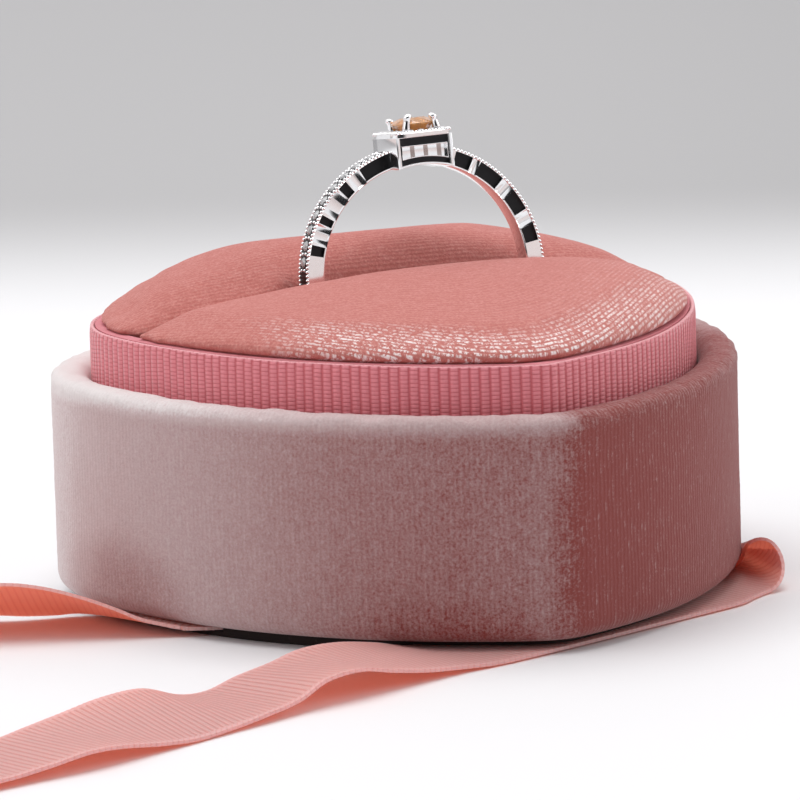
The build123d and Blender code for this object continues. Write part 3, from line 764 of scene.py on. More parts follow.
def metal_material(name, tone, rough, dust=(0.7, 0.7, 0.72)):
    """Polished metal, a little duller where it is hazy."""
    made, net, place, _ = material(name)
    polish = net.use("Polish", Vector=place, Rough=rough)
    body = net.blend(net.times(polish["Dust"], 0.15), tone, dust)
    normal = net.bumped(polish["Height"], 0.000004, 0.4)
    net.end(net.principled(body, Metallic=1.0, Roughness=polish["Roughness"], Normal=normal))
    return made


def stone_material(name, tone, glow):
    """A cut stone that lets part of the light in and mirrors the rest."""
    made, net, place, _ = material(name)
    body = net.blend(net.times(net.noisy(place, 900.0), 0.25), tone, glow)
    net.end(net.principled(body, Roughness=0.02, IOR=1.9, Transmission_Weight=0.6, Coat_Weight=0.3))
    return made


def board_material(name, tone, fleck, rough=0.85, depth=0.00003):
    """Pressed board or a moulded shell, cloudy and lightly flecked."""
    made, net, place, _ = material(name)
    paper = net.use("Pressed fibre", Vector=place)
    body = net.blend(net.times(paper["Cloud"], 0.3), tone, [part * 0.75 for part in tone])
    body = net.blend(net.times(paper["Fleck"], 0.5), body, fleck)
    normal = net.bumped(paper["Height"], depth, 0.7)
    net.end(net.principled(body, Roughness=rough, Specular_IOR_Level=0.3, Normal=normal))
    return made


# ---- Stage ----
class RINGBOX_OT_stage(bpy.types.Operator):
    """Camera, floor, lamps and surroundings"""

    bl_idname = "ringbox.stage"
    bl_label = "Stage"

    def execute(self, context):
        self.camera(context)
        self.floor()
        self.lamps(context)
        context.scene.view_settings.view_transform = "Standard"
        return {"FINISHED"}

    def camera(self, context):
        """A long lens in front, a little to the left and above, turned slightly about its own axis."""
        turn, drop, roll, distance = 0.3818, 0.176, -0.0293, 0.59636
        ahead = Vector((sin(turn) * cos(drop), cos(turn) * cos(drop), -sin(drop)))
        right = Vector((cos(turn), -sin(turn), 0))
        up = right.cross(ahead)
        side = right * cos(roll) + up * sin(roll)
        top = up * cos(roll) - right * sin(roll)
        target = Vector((0.0007413, 0.0091, 0.013966))
        nothing_selected()
        bpy.ops.object.camera_add()
        camera = context.object
        camera.name = "Camera"
        place = Matrix((side, top, -ahead)).transposed().to_4x4()
        place.translation = target - ahead * distance
        camera.matrix_world = place
        camera.data.sensor_width = 36.0
        camera.data.lens = 340.34
        camera.data.clip_start = 0.01
        camera.data.clip_end = 50.0
        context.scene.camera = camera

    def floor(self):
        """A pale floor that turns grey beyond the box."""
        _, colours = chosen()
        nothing_selected()
        below = (0, 0, -0.00002)
        bpy.ops.mesh.primitive_circle_add(vertices=96, radius=6.0, fill_type="NGON", location=below)
        floor = settled(named("floor"))
        made, net, place, _ = material("Pale floor")
        tilt = net.add("Mapping", {"Vector": place, "Rotation": (0, 0, 0.447)})[0]
        aside, ahead = net.split(tilt)[:2]
        # Painted shade: the grey beyond turns a little darker towards one side.
        far = net.blend(net.ramped(aside, -0.03, 0.07, 0.0, 0.16), colours.backdrop, (0.2, 0.2, 0.2))
        pale = net.blend(net.times(net.noisy(place, 6.0), 0.04), colours.floor, (0.8, 0.8, 0.8))
        body = net.blend(net.ramped(ahead, 0.125, 0.215), pale, far)
        net.end(net.principled(body, Roughness=0.6, Specular_IOR_Level=0.1))
        floor.data.materials.append(made)

    def lamps(self, context):
        """Three area lamps and a world whose mirror image differs from its light."""
        for name, place, size, power in (
            ("Top lamp", (-0.1, 0.12, 1.0), 1.0, 7.6),
            ("Left lamp", (-1.0, -0.1, 0.6), 0.6, 1.4),
            ("Right lamp", (1.0, -0.35, 0.5), 0.6, 2.2),
        ):
            nothing_selected()
            bpy.ops.object.light_add(type="AREA", location=place)
            lamp = context.object
            lamp.name = name
            lamp.data.size = size
            lamp.data.energy = power
            toward = Vector((0, 0, 0.01)) - Vector(place)
            lamp.rotation_euler = toward.to_track_quat("-Z", "Y").to_euler()
        world = bpy.data.worlds.new("Soft room")
        context.scene.world = world
        world.use_nodes = True
        world.node_tree.nodes.clear()
        net = Net(world.node_tree)
        way = net.add("TexCoord")["Generated"]
        # The side where the viewer stands is darker than the rest of the room.
        near = net.add("VectorMath", {0: way, 1: (-0.367, -0.914, 0.175)}, operation="DOT_PRODUCT")["Value"]
        dark = net.ramped(near, 0.74, 0.86)
        bright, warm, unlit = (0.95, 0.95, 0.97), (0.84, 0.72, 0.70), (0.02, 0.02, 0.022)
        room = net.blend(dark, bright, unlit)
        room = net.blend(net.ramped(net.split(way)[2], 0.35, 0.0), room, warm)
        room = net.blend(dark, room, unlit)
        path = net.add("LightPath")
        shiny = net.maths("MAXIMUM", path["Is Glossy Ray"], path["Is Transmission Ray"])
        soft = net.ramped(near, -0.1, 0.95, 0.72, 0.34)
        plain, mirrored, seen = (
            net.add("Background", {0: tone, 1: strength})[0]
            for tone, strength in (((0.97, 0.98, 1.0), soft), (room, 1.0), ((0.56, 0.555, 0.56), 1.0))
        )
        mix = net.add("MixShader", {0: shiny, 1: plain, 2: mirrored})[0]
        mix = net.add("MixShader", {0: path["Is Camera Ray"], 1: mix, 2: seen})[0]
        net.add("OutputWorld", {"Surface": mix})


# ---- Base ----
class RINGBOX_OT_base(bpy.types.Operator):
    """Velvet wrapped around the base, and the board under it"""

    bl_idname = "ringbox.base"
    bl_label = "Velvet base"

    def execute(self, context):
        sizes, colours = chosen()
        low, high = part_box("base_velvet")
        foot, rim, top = sizes.foot_round, sizes.rim_round, high.z
        wall_low = low.z + foot
        wall_high = top - rim - 0.0001
        rows = 44
        # Under the floor, up the wall, over the rim and down behind the collar
        profile = [(0.0048, low.z + 0.00002), (0.003, low.z)] + quarter(foot, wall_low, foot, -90, 0, 8)
        profile += [(0.0, wall_low + (wall_high - wall_low) * k / rows) for k in range(1, rows)]
        shown_to = len(profile) + 3
        profile += quarter(rim, top - rim, rim, 0, 90, 8)
        profile += [(0.0013, top + 0.00003), (0.0018, top - 0.00002), (0.0023, top - 0.00014)]
        profile += [(0.0027, top - 0.0004), (0.0030, top - 0.0008)]
        profile += [(0.00312, top - 0.0014), (0.00312, top - 0.006)]
        pile_from = top - 0.0011

        def uneven(along, column, row, depth, height):
            """Faint waves where the cloth is stretched over the wall."""
            wave = rough(column * 0.03, height * 260.0, 3.0) * 0.00007
            fuzz = rough(column * 1.7, height * 5200.0, 9.0) * 0.00003
            if height < pile_from or depth > 0.0028:
                return depth + wave + fuzz, height
            # Over the rim the pile stands up in small clumps.
            clump = rough(along * 520.0, depth * 700.0, height * 700.0) * 0.00014
            clump += rough(along * 1500.0, depth * 2000.0, 1.0) * 0.00006
            rise = clump * progress(height, pile_from, pile_from + 0.0006)
            return depth + wave + fuzz - clump * 0.6, height + rise

        obj = smooth(around_heart("base_velvet_wrap", 0.00026, profile, uneven))
        girth = max(item.uv[0] for item in obj.data.uv_layers[0].data)
        cloth = wrap_velvet(girth, lengths_up(profile)[shown_to])
        finished(obj, "base", "base_velvet", [cloth], "base_velvet")
        # The board's near-black colour is partly painted shade under the foot.
        give("bottom_liner", board_material("Dark board", colours.board, (0.06, 0.045, 0.04)))
        return {"FINISHED"}


def give(node, made):
    """A CAD node gets its material."""
    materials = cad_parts[node].data.materials
    materials.clear()
    materials.append(made)


class RINGBOX_OT_hidden(bpy.types.Operator):
    """Moulded shell, collar card, cushion board: the pieces that the cloth covers"""

    bl_idname = "ringbox.hidden"
    bl_label = "Covered pieces"

    def execute(self, context):
        shell = (0.80, 0.78, 0.73)
        give("base_shell", board_material("Moulded shell", shell, (0.74, 0.72, 0.67), rough=0.5, depth=0.00001))
        give("collar_core", board_material("Pink card", (0.66, 0.24, 0.27), (0.8, 0.45, 0.47)))
        give("pad_board", board_material("Pale card", (0.72, 0.66, 0.58), (0.45, 0.38, 0.30)))
        return {"FINISHED"}


class RINGBOX_OT_collar(bpy.types.Operator):
    """Ribbed ribbon around the collar"""

    bl_idname = "ringbox.collar"
    bl_label = "Collar ribbon"

    def execute(self, context):
        sizes, colours = chosen()
        low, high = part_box("collar_ribbon")
        outer, inner, top = COLLAR_AT, COLLAR_AT + COLLAR_THICK, high.z
        ribs_low = low.z + 0.002
        ribs_high = top - 0.00038
        rows = 14
        # Up the face that shows, over the woven edge and down the glued face
        profile = [(inner, low.z), (outer + 0.0001, low.z), (outer, low.z + 0.0002)]
        ribs_from = len(profile)
        ribs_to = ribs_from + rows
        profile += [(outer, ribs_low + (ribs_high - ribs_low) * k / rows) for k in range(rows + 1)]
        profile += [(outer + 0.00002, top - 0.0003), (outer + 0.00001, top - 0.00018)]
        profile += [(outer + 0.00004, top - 0.00005), (outer + 0.00014, top)]
        profile += [(inner - 0.00006, top - 0.00002), (inner, top - 0.00012), (inner, ribs_low)]

        def ribbed(along, column, row, depth, height):
            if ribs_from <= row <= ribs_to:
                rib = abs(sin(pi * along / sizes.collar_pitch))
                fade = min(1.0, (ribs_to - row + 0.4) / 1.2)
                depth += (0.45 - rib**0.6) * sizes.rib_depth * fade
            sag = rough(along * 90.0, 0.0, 4.0) * 0.00006
            return depth, height + (sag if row >= ribs_from else 0)

        obj = smooth(around_heart("collar_grosgrain", 0.00011, profile, ribbed, outer), 60)
        # The weave reads U across the ribbon and V along it.
        for item in obj.data.uv_layers[0].data:
            item.uv = (item.uv[1], item.uv[0])
        weave = {"Pitch": sizes.collar_pitch, "Thread": 0.00032, "Width": 0.0069, "Edge": 0.0005}
        cloth = ribbon_material("Pink grosgrain", colours.collar, colours.collar_groove_shade, weave, depth=0.00011)
        finished(obj, "base", "collar_grosgrain", [cloth], "collar_ribbon")
        return {"FINISHED"}


# ---- Cushion ----
def filled(obj, cap, held_below):
    """Cloth simulation: the case is blown up where it is free, and no point moves more than the cap."""
    # The case is simulated at twenty times its size, which the solver handles better.
    grow = 20.0
    frames = 20
    start = [vertex.co.copy() for vertex in obj.data.vertices]
    held = obj.vertex_groups.new(name="held")
    held.add([vertex.index for vertex in obj.data.vertices if vertex.co.z < held_below], 1.0, "REPLACE")
    obj.data.transform(Matrix.Scale(grow, 4))
    only(obj)
    modifier = obj.modifiers.new("Cloth", "CLOTH")
    cloth = modifier.settings
    cloth.quality = 6
    cloth.mass = 0.3
    cloth.tension_stiffness = 8
    cloth.compression_stiffness = 8
    cloth.bending_stiffness = 0.4
    cloth.vertex_group_mass = held.name
    cloth.use_pressure = True
    cloth.uniform_pressure_force = 4.0
    cloth.effector_weights.gravity = 0.0
    modifier.point_cache.frame_start = 1
    modifier.point_cache.frame_end = frames
    for number in range(1, frames + 1):
        bpy.context.scene.frame_set(number)
    bpy.ops.object.modifier_apply(modifier=modifier.name)
    bpy.context.scene.frame_set(1)
    obj.data.transform(Matrix.Scale(1 / grow, 4))
    for vertex, place in zip(obj.data.vertices, start):
        moved = vertex.co - place
        if moved.length > cap:
            vertex.co = place + moved.normalized() * cap


def dome_height(dome, x, y):
    """Height of a half's dome over a point."""
    middle, radius, apex = dome
    return apex - radius + sqrt(radius**2 - (x - middle.x) ** 2 - (y - middle.y) ** 2)


def crowned(obj, side, top):
    """The velvet rises from the collar over the card, runs out into the dome and dips to the slot."""
    deep_at_ring, wide_at_ring = FRONT_DIP if side < 0 else BACK_DIP
    deep_far, wide_far = FAR_DIP
    for vertex in obj.data.vertices:
        place = vertex.co
        # Away from the ring the two halves lean on each other, and their dip fades out towards the ends.
        aside = (place.y - RING_CENTRE.y) + (place.z - RING_CENTRE.z) * tan(RING_LEAN)
        past_ring = abs(place.x - RING_CENTRE.x) - RING_OUT - SLOT_FREE
        place.y -= side * SLOT_LEAN * progress(past_ring, 0, 0.0015) * progress(abs(aside), SLOT_WIDE, 0)
        if place.z < top - 0.0001:
            continue
        depth, out = depth_at(place.x, place.y)
        low = dome_height(FRONT_DOME, place.x, place.y)
        high = dome_height(BACK_DOME, place.x, max(place.y, 0.004))
        lesser = -DOME_MERGE * log(exp(-low / DOME_MERGE) + exp(-high / DOME_MERGE))
        beyond = progress(past_ring, 0, 0.0035)
        # The brim is steep in front and at the notch, and eases over the lobes' outer ends.
        rounding = BRIM_ROUND * (1 + progress(abs(place.x), 0.0175, 0.0235))
        if side > 0:
            plain = high - top
            crown = high + (lesser - high) * beyond * exp(-max(0.0, aside) / 0.0035) - top
            if place.y > LOBE_LINE_Y:
                rounding *= 1 - 0.5 * exp(-((place.x / 0.006) ** 2))
        else:
            plain = low - top
            crown = lesser - top
        share = (place.z - top) / plain
        share *= 1 - exp((BRIM_FROM - max(depth, BRIM_FROM + 0.0008)) / rounding)
        share = min(max(share, 0.03), 0.995)
        reach = max(0.0, depth - BRIM_FROM + rounding * log(1 - share))
        deep = deep_at_ring + (deep_far - deep_at_ring) * beyond
        wide = wide_at_ring + (wide_far - wide_at_ring) * beyond
        dip = deep * exp(-max(0.0, abs(aside) - 0.0003) / wide) * progress(abs(place.x), 0.0205, 0.0135)
        place.z = top + share * (1 - dip) * crown
        vertex.co += out * reach * progress(depth, 0.0064, 0.0057)


def marked(obj, side):
    """Where the pile rows lie, how well they show, and where glints are painted: low down, on the side towards
    the viewer.
    """
    lies = []
    glint_weights = []
    # In front the rows follow both flanks of the heart and bend over from one to the other.
    flank = Vector((0.829, 0.561))
    bend = 0.006
    for vertex in obj.data.vertices:
        x, y, z = vertex.co
        depth, out = depth_at(x, y)
        across, along, shown, strength = y + z * 0.5, x, 0.12, 0.15
        if side < 0:
            left = (x + 0.024) * flank.x + y * flank.y
            right = (0.024 - x) * flank.x + y * flank.y
            across = -bend * log(exp(-left / bend) + exp(-right / bend)) + z * 0.7
            along = (left - right) / 2
            shown = progress(depth, 0.014, 0.005) * max(0.12, progress(x, -0.006, 0.012))
            strength = 1.0
        low = progress(depth, 0.0078, 0.0056)
        ahead = max(0.0, -0.365 * out.x - 0.931 * out.y)
        lies += [across, along, shown]
        glint_weights.append(low * min(1.0, 0.3 + ahead) * progress(x, -0.0175, -0.0125) * strength)
    obj.data.attributes.new("lie", "FLOAT_VECTOR", "POINT").data.foreach_set("vector", lies)
    obj.data.attributes.new("brim", "FLOAT", "POINT").data.foreach_set("value", glint_weights)


class RINGBOX_OT_cushions(bpy.types.Operator):
    """The two halves of the ring cushion, filled out by a cloth simulation"""

    bl_idname = "ringbox.cushions"
    bl_label = "Ring cushion"

    def execute(self, context):
        sizes, _ = chosen()
        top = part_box("collar_core")[1].z
        for name, side in (("front", -1), ("back", 1)):
            obj = copy_of_node(f"cushion_{name}", f"pad_{name}_foam")
            with_modifier(obj, "REMESH", mode="VOXEL", voxel_size=0.0006)
            with_modifier(obj, "DISPLACE", strength=sizes.cushion_cloth, mid_level=0.0)
            filled(obj, sizes.cushion_swell, top - 0.0006)
            with_modifier(obj, "SMOOTH", factor=0.5, iterations=4)
            crowned(obj, side, top)
            with_modifier(obj, "SMOOTH", factor=0.5, iterations=2)
            with_modifier(obj, "SUBSURF", levels=1, render_levels=1)
            smooth(obj)
            marked(obj, side)
            cloth = cushion_velvet(f"Salmon velvet, {name}")
            finished(obj, "base", "cushion_velvet", [cloth], f"pad_{name}_velvet", f"pad_{name}_foam")
        return {"FINISHED"}


# ---- Tie ribbons ----
def flowing(stations, t):
    """Near and far edge at t stations along, on a smooth line through them."""
    last = len(stations) - 1
    k = min(int(t), last - 1)
    s = t - k
    found = []
    for edge in (0, 3):
        around = (stations[min(max(k + j, 0), last)][edge : edge + 3] for j in (-1, 0, 1, 2))
        a, b, c, d = (Vector(place) * MM for place in around)
        curve = (2 * a - 5 * b + 4 * c - d) * s * s + (3 * b - a - 3 * c + d) * s**3
        found.append(0.5 * (2 * b + (c - a) * s + curve))
    return found


def ribbon(name, stations, sizes):
    """A ribbon through its stations; V runs along each edge's own length, so that the ribs stay square."""
    fine = 24
    step = 0.0002
    across = (0, 0.03, 0.07, 0.16, 0.26, 0.38, 0.5, 0.62, 0.74, 0.84, 0.93, 0.97, 1)
    edges = [flowing(stations, k / fine) for k in range((len(stations) - 1) * fine + 1)]
    along = lengths_along([(near + far) / 2 for near, far in edges], closed=False)
    own = [lengths_along([pair[side] for pair in edges], closed=False) for side in (0, 1)]
    total = along[-1]
    count = round(total / step)
    rows = []
    k = 0
    for n in range(count + 1):
        want = total * n / count
        while k < len(along) - 2 and along[k + 1] < want:
            k += 1
        s = (want - along[k]) / (along[k + 1] - along[k])
        row = [edges[k][side].lerp(edges[k + 1][side], s) for side in (0, 1)]
        rows.append(row + [own[side][k] + (own[side][k + 1] - own[side][k]) * s for side in (0, 1)])
    shift = (own[0][-1] - own[1][-1]) / 2

    def place(column, row):
        near, far = rows[row][:2]
        spread = across[column]
        if column in (0, len(across) - 1):
            # The woven edges wave in and out a little.
            wobble = abs(sin(pi * total * row / count / 0.00055)) * 0.00005
            spread += (1 if column else -1) * wobble / sizes.tie_width
        return near + (far - near) * spread

    def weave(column, row):
        near, far = rows[row][2] - shift, rows[row][3]
        return (sizes.tie_width * across[column], near + (far - near) * across[column])

    obj = cleaned(sheet_of(name, len(across) - 1, count, place, weave))
    with_modifier(obj, "SOLIDIFY", thickness=sizes.tie_thick, offset=0.0)
    return smooth(obj, 50), total


class RINGBOX_OT_ties(bpy.types.Operator):
    """The two tie ribbons glued under the base"""

    bl_idname = "ringbox.ties"
    bl_label = "Tie ribbons"

    def execute(self, context):
        sizes, colours = chosen()
        weave = {"Pitch": sizes.tie_pitch, "Thread": 0.00024, "Width": sizes.tie_width, "Edge": 0.00045}
        # Top faces take the pale colour, painted sheen over the coral; the underside keeps the coral and lets
        # more light through.
        cloths = [
            ribbon_material(name, top, colours.tie_groove_shade, weave, depth=0.0001, lit=lit, share=share)
            for name, top, lit, share in (
                ("Coral grosgrain", colours.tie, colours.tie_lit, 0.42),
                ("Coral grosgrain, underside", colours.tie_under, (0.95, 0.62, 0.52), 0.88),
            )
        ]
        for side, stations in (("right", RIGHT_TIE), ("left", LEFT_TIE)):
            obj, total = ribbon(f"tie_{side}", stations, sizes)
            # Faces that look down take the underside's deeper coral; the top's paler colour is painted sheen.
            for face in obj.data.polygons:
                face.material_index = int(face.normal.z < -0.3)
            finished(obj, "base", "tie_grosgrain", cloths, f"tie_ribbon_{side}")
            max(sizes.tie_width, 0.01)
        return {"FINISHED"}


# ---- Ring ----
def lathe(name, profile, segments):
    """A turned piece about Z: profile is a row of (radius, height)."""
    up = lengths_up(profile)

    def place(column, row):
        radius, height = profile[row]
        angle = 2 * pi * column / segments
        return Vector((radius * cos(angle), radius * sin(angle), height))

    obj = sheet_of(name, segments, len(profile) - 1, place, lambda c, r: (c / segments * 0.001, up[r]))
    return cleaned(obj)


def gem(name, girdle_r, table_r, crown, pavilion, segments=16):
    """A cut stone: circles at each height inside one convex hull, girdle at Z 0."""
    nothing_selected()
    thin = girdle_r * 0.04
    bpy.ops.mesh.primitive_circle_add(vertices=segments, radius=girdle_r, location=(0, 0, 0))
    obj = named(name)
    bpy.ops.object.mode_set(mode="EDIT")
    half = segments // 2
    # Lower edge of the girdle, upper facets, table, lower facets and point
    for count, radius, height, turn in (
        (segments, girdle_r, -thin, 0),
        (half, table_r + (girdle_r - table_r) * 0.62, crown * 0.52, pi / half),
        (half, table_r, crown, 0),
        (half, girdle_r * 0.5, -pavilion * 0.54, 0),
        (4, girdle_r * 0.02, -pavilion, 0),
    ):
        bpy.ops.mesh.primitive_circle_add(
            vertices=count, radius=radius, location=(0, 0, height), rotation=(0, 0, turn)
        )
    bpy.ops.mesh.select_all(action="SELECT")
    bpy.ops.mesh.convex_hull()
    bpy.ops.object.mode_set(mode="OBJECT")
    return settled(cleaned(obj))


def copies(source, name, places):
    """Copies of a small piece at each place, joined into one."""
    made = []
    for place in places:
        obj = bpy.data.objects.new(name, source.data.copy())
        bpy.context.scene.collection.objects.link(obj)
        obj.data.transform(place)
        made.append(obj)
    bpy.data.objects.remove(source)
    return joined(name, made)


def around_ring(radius, angle, y=0.0):
    """Place at an angle from the top of the ring, with Z pointing outwards."""
    return Matrix.Rotation(radians(angle), 4, "Y") @ Matrix.Translation((0, y, radius))


def ring_part(obj, slot, materials, *nodes):
    """A piece made in the ring's own frame goes to its place and rides on the ring."""
    settled(obj, RING_PLACE)
    finished(obj, "ring", slot, materials, *nodes)


class RINGBOX_OT_ring(bpy.types.Operator):
    """Shank, gallery, halo, prongs, beads and stones of the displayed ring"""

    bl_idname = "ringbox.ring"
    bl_label = "Displayed ring"

    def execute(self, context):
        sizes, colours = chosen()
        silver = metal_material("Polished silver", colours.silver, rough=0.05)
        shade = metal_material("Dark recess", colours.recess, rough=0.3, dust=(0.015, 0.015, 0.016))
        clear = stone_material("Clear stone", (0.97, 0.97, 0.98), (0.9, 0.92, 0.95))
        peach = stone_material("Peach stone", colours.stone, (0.95, 0.62, 0.32))
        dim = metal_material("Shaded silver", (0.40, 0.33, 0.31), rough=0.2)
        self.shank(silver, shade)
        self.head(silver, shade, dim)
        self.plate(silver)
        self.beads(silver, sizes.bead_r)
        self.stones(clear, peach)
        self.prongs(silver)
        return {"FINISHED"}

    def shank(self, silver, shade):
        """Band with a row of sunk panels in both sides."""
        half = RING_HALF_W
        low = RING_IN + 0.0002
        high = RING_OUT - 0.00013
        turns = 720
        profile = [(RING_IN, 0.0), (RING_IN, half * 0.7), (RING_IN + 0.00005, half - 0.00003)]
        profile += [(RING_IN + 0.0001, half), (low, half), (high, half), (RING_OUT - 0.0001, half)]
        profile += [(RING_OUT, half - 0.0001), (RING_OUT, half * 0.5), (RING_OUT, 0.0)]
        profile += [(radius, -y) for radius, y in profile[-2::-1]]
        panels = [(round(first * turns / 360), round(last * turns / 360)) for first, last in PANELS]

        # Between two panels the side is a little hollow.
        ends = sorted((last, panels[(k + 1) % len(panels)][0]) for k, (_, last) in enumerate(panels))
        hollow = [0.0] * (turns + 1)
        for start, stop in ends:
            if 0 < stop - start < turns / 12:
                for column in range(start, stop):
                    hollow[column % turns] = sin(pi * (column - start) / (stop - start))

        def place(column, row):
            radius, y = profile[row]
            angle = 2 * pi * column / turns
            if low - 0.00001 < radius < high + 0.00001 and abs(y) > half - 0.00001:
                y *= 1 - 0.10 * hollow[column]
            return Vector((radius * sin(angle), y, radius * cos(angle)))

        last = len(profile) - 1
        obj = cleaned(sheet_of("ring_band", turns, last, place, lambda c, r: (c / turns * 0.06, r * 0.0003)))
        for face in obj.data.polygons:
            middle = face.center
            if hypot(middle.x, middle.z) > RING_OUT - 0.00003 and abs(middle.y) < half - 0.0001:
                face.material_index = 1
        for way in (1, -1):
            self.sink(obj, panels, (low, high), way, turns)
        ring_part(smooth(obj, 35), "silver", (silver, shade), "ring_shank")

    def sink(self, obj, panels, band, way, turns):
        """The panels of one side go in, and turn dark."""
        low, high = band
        only(obj)
        bpy.ops.object.mode_set(mode="EDIT")
        bpy.ops.mesh.select_mode(type="FACE")
        bpy.ops.mesh.select_all(action="DESELECT")
        mesh = bmesh.from_edit_mesh(obj.data)
        for face in mesh.faces:
            middle = face.calc_center_median()
            radius = hypot(middle.x, middle.z)
            angle = atan2(middle.x, middle.z) / (2 * pi) * turns
            if face.normal.y * way < 0.9 or not low < radius < high:
                continue
            if any(first < angle < last for first, last in panels):
                face.select = True
        bmesh.update_edit_mesh(obj.data)
        bpy.ops.mesh.extrude_region_move(TRANSFORM_OT_translate={"value": (0, -way * PANEL_DEPTH, 0)})
        mesh = bmesh.from_edit_mesh(obj.data)
        for face in mesh.faces:
            if face.select:
                face.material_index = 1
        bmesh.update_edit_mesh(obj.data)
        bpy.ops.object.mode_set(mode="OBJECT")

    def head(self, silver, shade, dim):
        """Square gallery: both fronts have a bright frame, a dark recess and a window with bars in it."""
        reach, top, half = 0.0025, HALO_LOW, 0.00236
        recess, window = 0.0002, 0.00038
        bar_width, bars = 0.00038, (2, 5, 8)
        # Margins at the sides, above and below, and the depth of each frame line
        lines = [(0, 0, 0, 0), (0.0003, 0.00005, 0.00014, 0), (0.00032, 0.00008, 0.00017, recess)]
        lines += [(0.00042, 0.00068, 0.0006, recess), (0.00042, 0.00068, 0.0006, 0.00006)]
        lines += [(0.00048, 0.00074, 0.00066, 0.00006), (0.00049, 0.00075, 0.00067, 0.0004)]
        rows = [(lines[-1], -1, True)] + [(line, -1, False) for line in lines[::-1]]
        rows += [(line, 1, False) for line in lines] + [(lines[-1], 1, True)]
        columns = 10
        around = 2 * columns + 2

        def place(column, row):
            (side, above, below, depth), way, shut = rows[row]
            column %= around
            left, right = HEAD_X - half + side, HEAD_X + half - side
            lower = column <= columns
            share = (column if lower else around - 1 - column) / columns
            x = left + (right - left) * share
            foot = sqrt(RING_IN**2 - x * x) + below
            z = (foot + top - above) / 2 if shut else foot if lower else top - above
            return Vector((x, way * (reach - depth), z))

        obj = sheet_of("ring_gallery", around, len(rows) - 1, place, lambda c, r: (c * 0.0003, r * 0.0003))
        cleaned(obj)
        for face in obj.data.polygons:
            away = reach - abs(face.center.y)
            bar = int((face.center.x - HEAD_X + 5 * bar_width) / bar_width)
            if abs(away - recess) < 0.00002:
                face.material_index = 1
            elif away > window and abs(face.normal.y) > 0.9 and bar in bars:
                face.material_index = 2
        with_modifier(obj, "BEVEL", width=0.00003, segments=2, limit_method="ANGLE", angle_limit=radians(40))
        ring_part(smooth(obj, 40), "silver", (silver, shade, dim), "ring_head")

    def plate(self, silver):
        """Halo plate on the gallery, with a round seat for the stone."""
        low, high = HALO_LOW, HALO_LOW + 0.00033
        half_x, half_y, seat = 0.0024, 0.00254, 0.00145
        square = 9  # the higher, the squarer the plate
        columns = 96
        profile = [(0, low), (0, high - 0.00005), (0.00005, high), (None, high), (None, low), (0, low)]

        def place(column, row):
            inset, z = profile[row]
            angle = 2 * pi * column / columns
            x, y = cos(angle), sin(angle)
            radius = seat
            if inset is not None:
                radius = ((abs(x) / half_x) ** square + (abs(y) / half_y) ** square) ** (-1 / square) - inset
            return Vector((HEAD_X + radius * x, radius * y, z))

        last = len(profile) - 1
        obj = sheet_of("ring_halo_plate", columns, last, place, lambda c, r: (c * 0.0002, r * 0.0004))
        ring_part(smooth(cleaned(obj), 40), "silver", (silver,), "ring_halo")

    def beads(self, silver, r):
        """Beads along the band's edges, claws between its stones, and beads around the halo."""
        nothing_selected()
        bpy.ops.mesh.primitive_uv_sphere_add(segments=8, ring_count=6, radius=r)
        bead = smooth(named("bead"))
        step = 2 * r * 1.16 / RING_OUT
        first_bead, first_claw = 14.5, 16.3
        half_x, half_y, top = 0.00224, 0.00238, 0.01105
        per_side = 16
        places = []
        for way in (1, -1):
            for k in range(int(radians(160) / step)):
                angle = way * (first_bead + k * step * 180 / pi)
                places += [around_ring(RING_OUT, angle, y * (RING_HALF_W - r * 0.75)) for y in (-1, 1)]
            for k in range(10):
                angle = way * (first_claw + STONE_STEP * k)
                places += [around_ring(RING_OUT + 0.00002, angle, y) for y in (-0.00030, 0.00030)]
        for k in range(per_side):
            x, y = (half * (2 * k / per_side - 1) for half in (half_x, half_y))
            for spot in ((x, -half_y), (half_x, y), (-x, half_y), (-half_x, -y)):
                places.append(Matrix.Translation((HEAD_X + spot[0], spot[1], top)))
        ring_part(copies(bead, "ring_beading", places), "silver", (silver,))

    def stones(self, clear, peach):
        """The centre stone, the row on the band and the square around the centre stone."""
        stone = gem("ring_stone", girdle_r=0.00175, table_r=0.001, crown=0.00045, pavilion=0.00155)
        stone.data.transform(Matrix.Translation((0.00045, 0, 0.01172)))
        ring_part(stone, "centre_stone", (peach,), "ring_center_stone")

        small = gem("small", girdle_r=0.00042, table_r=0.00024, crown=0.00016, pavilion=0.0002, segments=8)
        angles = [way * (20 + STONE_STEP * k) for k in range(9) for way in (1, -1)]
        places = [around_ring(RING_OUT + 0.00003, angle) for angle in angles]
        ring_part(copies(small, "ring_shank_gems", places), "clear_stone", (clear,), "ring_shank_stones")

        small = gem("small", girdle_r=0.00037, table_r=0.00022, crown=0.00014, pavilion=0.0002, segments=8)
        reach_x, reach_y, girdle_z = 0.00182, 0.00195, 0.01112
        spots = set()
        for k in range(5):
            x, y = (reach * (k / 2 - 1) for reach in (reach_x, reach_y))
            spots.update({(x, -reach_y), (x, reach_y), (-reach_x, y), (reach_x, y)})
        places = [Matrix.Translation((HEAD_X + x, y, girdle_z)) for x, y in sorted(spots)]
        ring_part(copies(small, "ring_halo_gems", places), "clear_stone", (clear,), "ring_halo_stones")

    def prongs(self, silver):
        """Four prongs that lean in to the stone and end in a ball."""
        foot = 0.0108
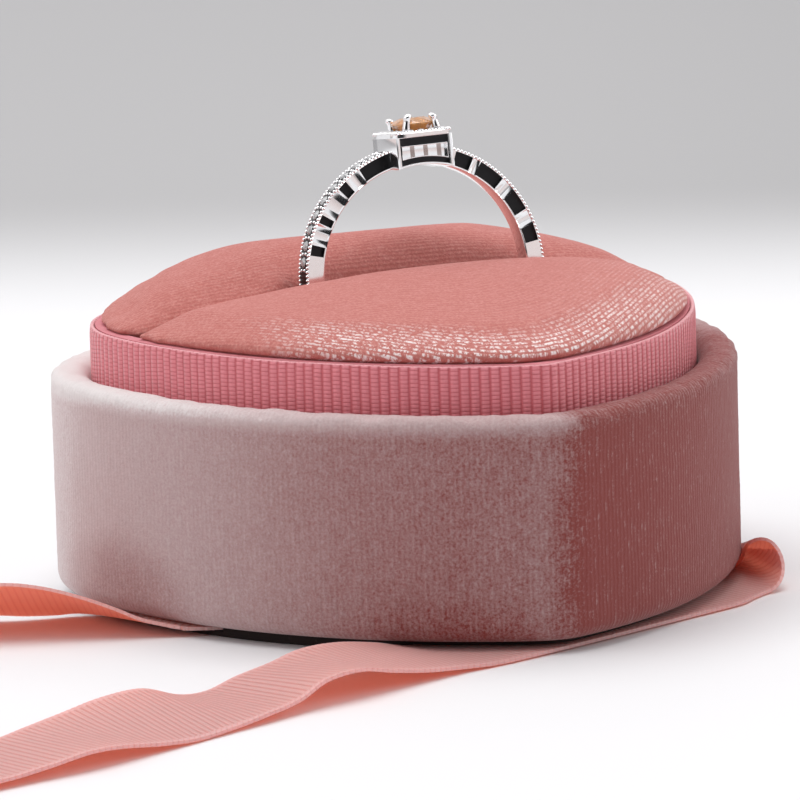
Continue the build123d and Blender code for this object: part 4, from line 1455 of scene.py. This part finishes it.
        # Foot X and Y, tip X and tip height, in millimetres
        claws = ((-0.72, -1.41, -0.40, 12.5), (1.89, -1.41, 1.52, 12.4))
        claws += ((-0.72, 1.41, -0.98, 12.2), (1.89, 1.41, 1.45, 12.1))
        made = []
        for x, y, tip_x, tip in claws:
            rise = tip * MM - foot
            profile = [(0.0, 0.0), (0.00033, 0.0), (0.00033, 0.35 * rise), (0.00028, 0.6 * rise)]
            profile += [(0.00028, 0.72 * rise), (0.00034, 0.8 * rise), (0.00034, 0.88 * rise)]
            profile += [(0.00026, 0.96 * rise), (0.00012, rise), (0.0, rise)]
            claw = smooth(lathe("claw", profile, 14))
            for vertex in claw.data.vertices:
                vertex.co.x += (tip_x - x) * MM * (vertex.co.z / rise) ** 2
            claw.data.transform(Matrix.Translation((x * MM, y * MM, foot)))
            made.append(claw)
        ring_part(joined("ring_claws", made), "silver", (silver,), "ring_prongs")


# ---- Panel and running ----
PIECES = (
    RINGBOX_OT_stage,
    RINGBOX_OT_base,
    RINGBOX_OT_hidden,
    RINGBOX_OT_collar,
    RINGBOX_OT_cushions,
    RINGBOX_OT_ties,
    RINGBOX_OT_ring,
)


class RINGBOX_PT_panel(bpy.types.Panel):
    bl_idname = "RINGBOX_PT_panel"
    bl_label = "Heart Ring Box"
    bl_space_type = "VIEW_3D"
    bl_region_type = "UI"
    bl_category = "Ring Box"

    def draw(self, context):
        for piece in PIECES:
            self.layout.operator(piece.bl_idname)
        for settings in (context.scene.ring_box_sizes, context.scene.ring_box_colours):
            box = self.layout.box()
            for key in settings.bl_rna.properties.keys():
                if key not in {"rna_type", "name"}:
                    box.prop(settings, key)


CLASSES = (RingBoxSizes, RingBoxColours, *PIECES, RINGBOX_PT_panel)


def register():
    for one in CLASSES:
        bpy.utils.register_class(one)
    bpy.types.Scene.ring_box_sizes = PointerProperty(type=RingBoxSizes)
    bpy.types.Scene.ring_box_colours = PointerProperty(type=RingBoxColours)


def unregister():
    del bpy.types.Scene.ring_box_colours
    del bpy.types.Scene.ring_box_sizes
    for one in reversed(CLASSES):
        bpy.utils.unregister_class(one)


def main():
    register()
    make_grosgrain()
    make_pile()
    make_polish()
    make_fibre()
    bpy.ops.ringbox.stage()
    bpy.ops.ringbox.base()
    bpy.ops.ringbox.hidden()
    bpy.ops.ringbox.collar()
    bpy.ops.ringbox.cushions()
    bpy.ops.ringbox.ties()
    bpy.ops.ringbox.ring()


if __name__ == "__main__":
    main()
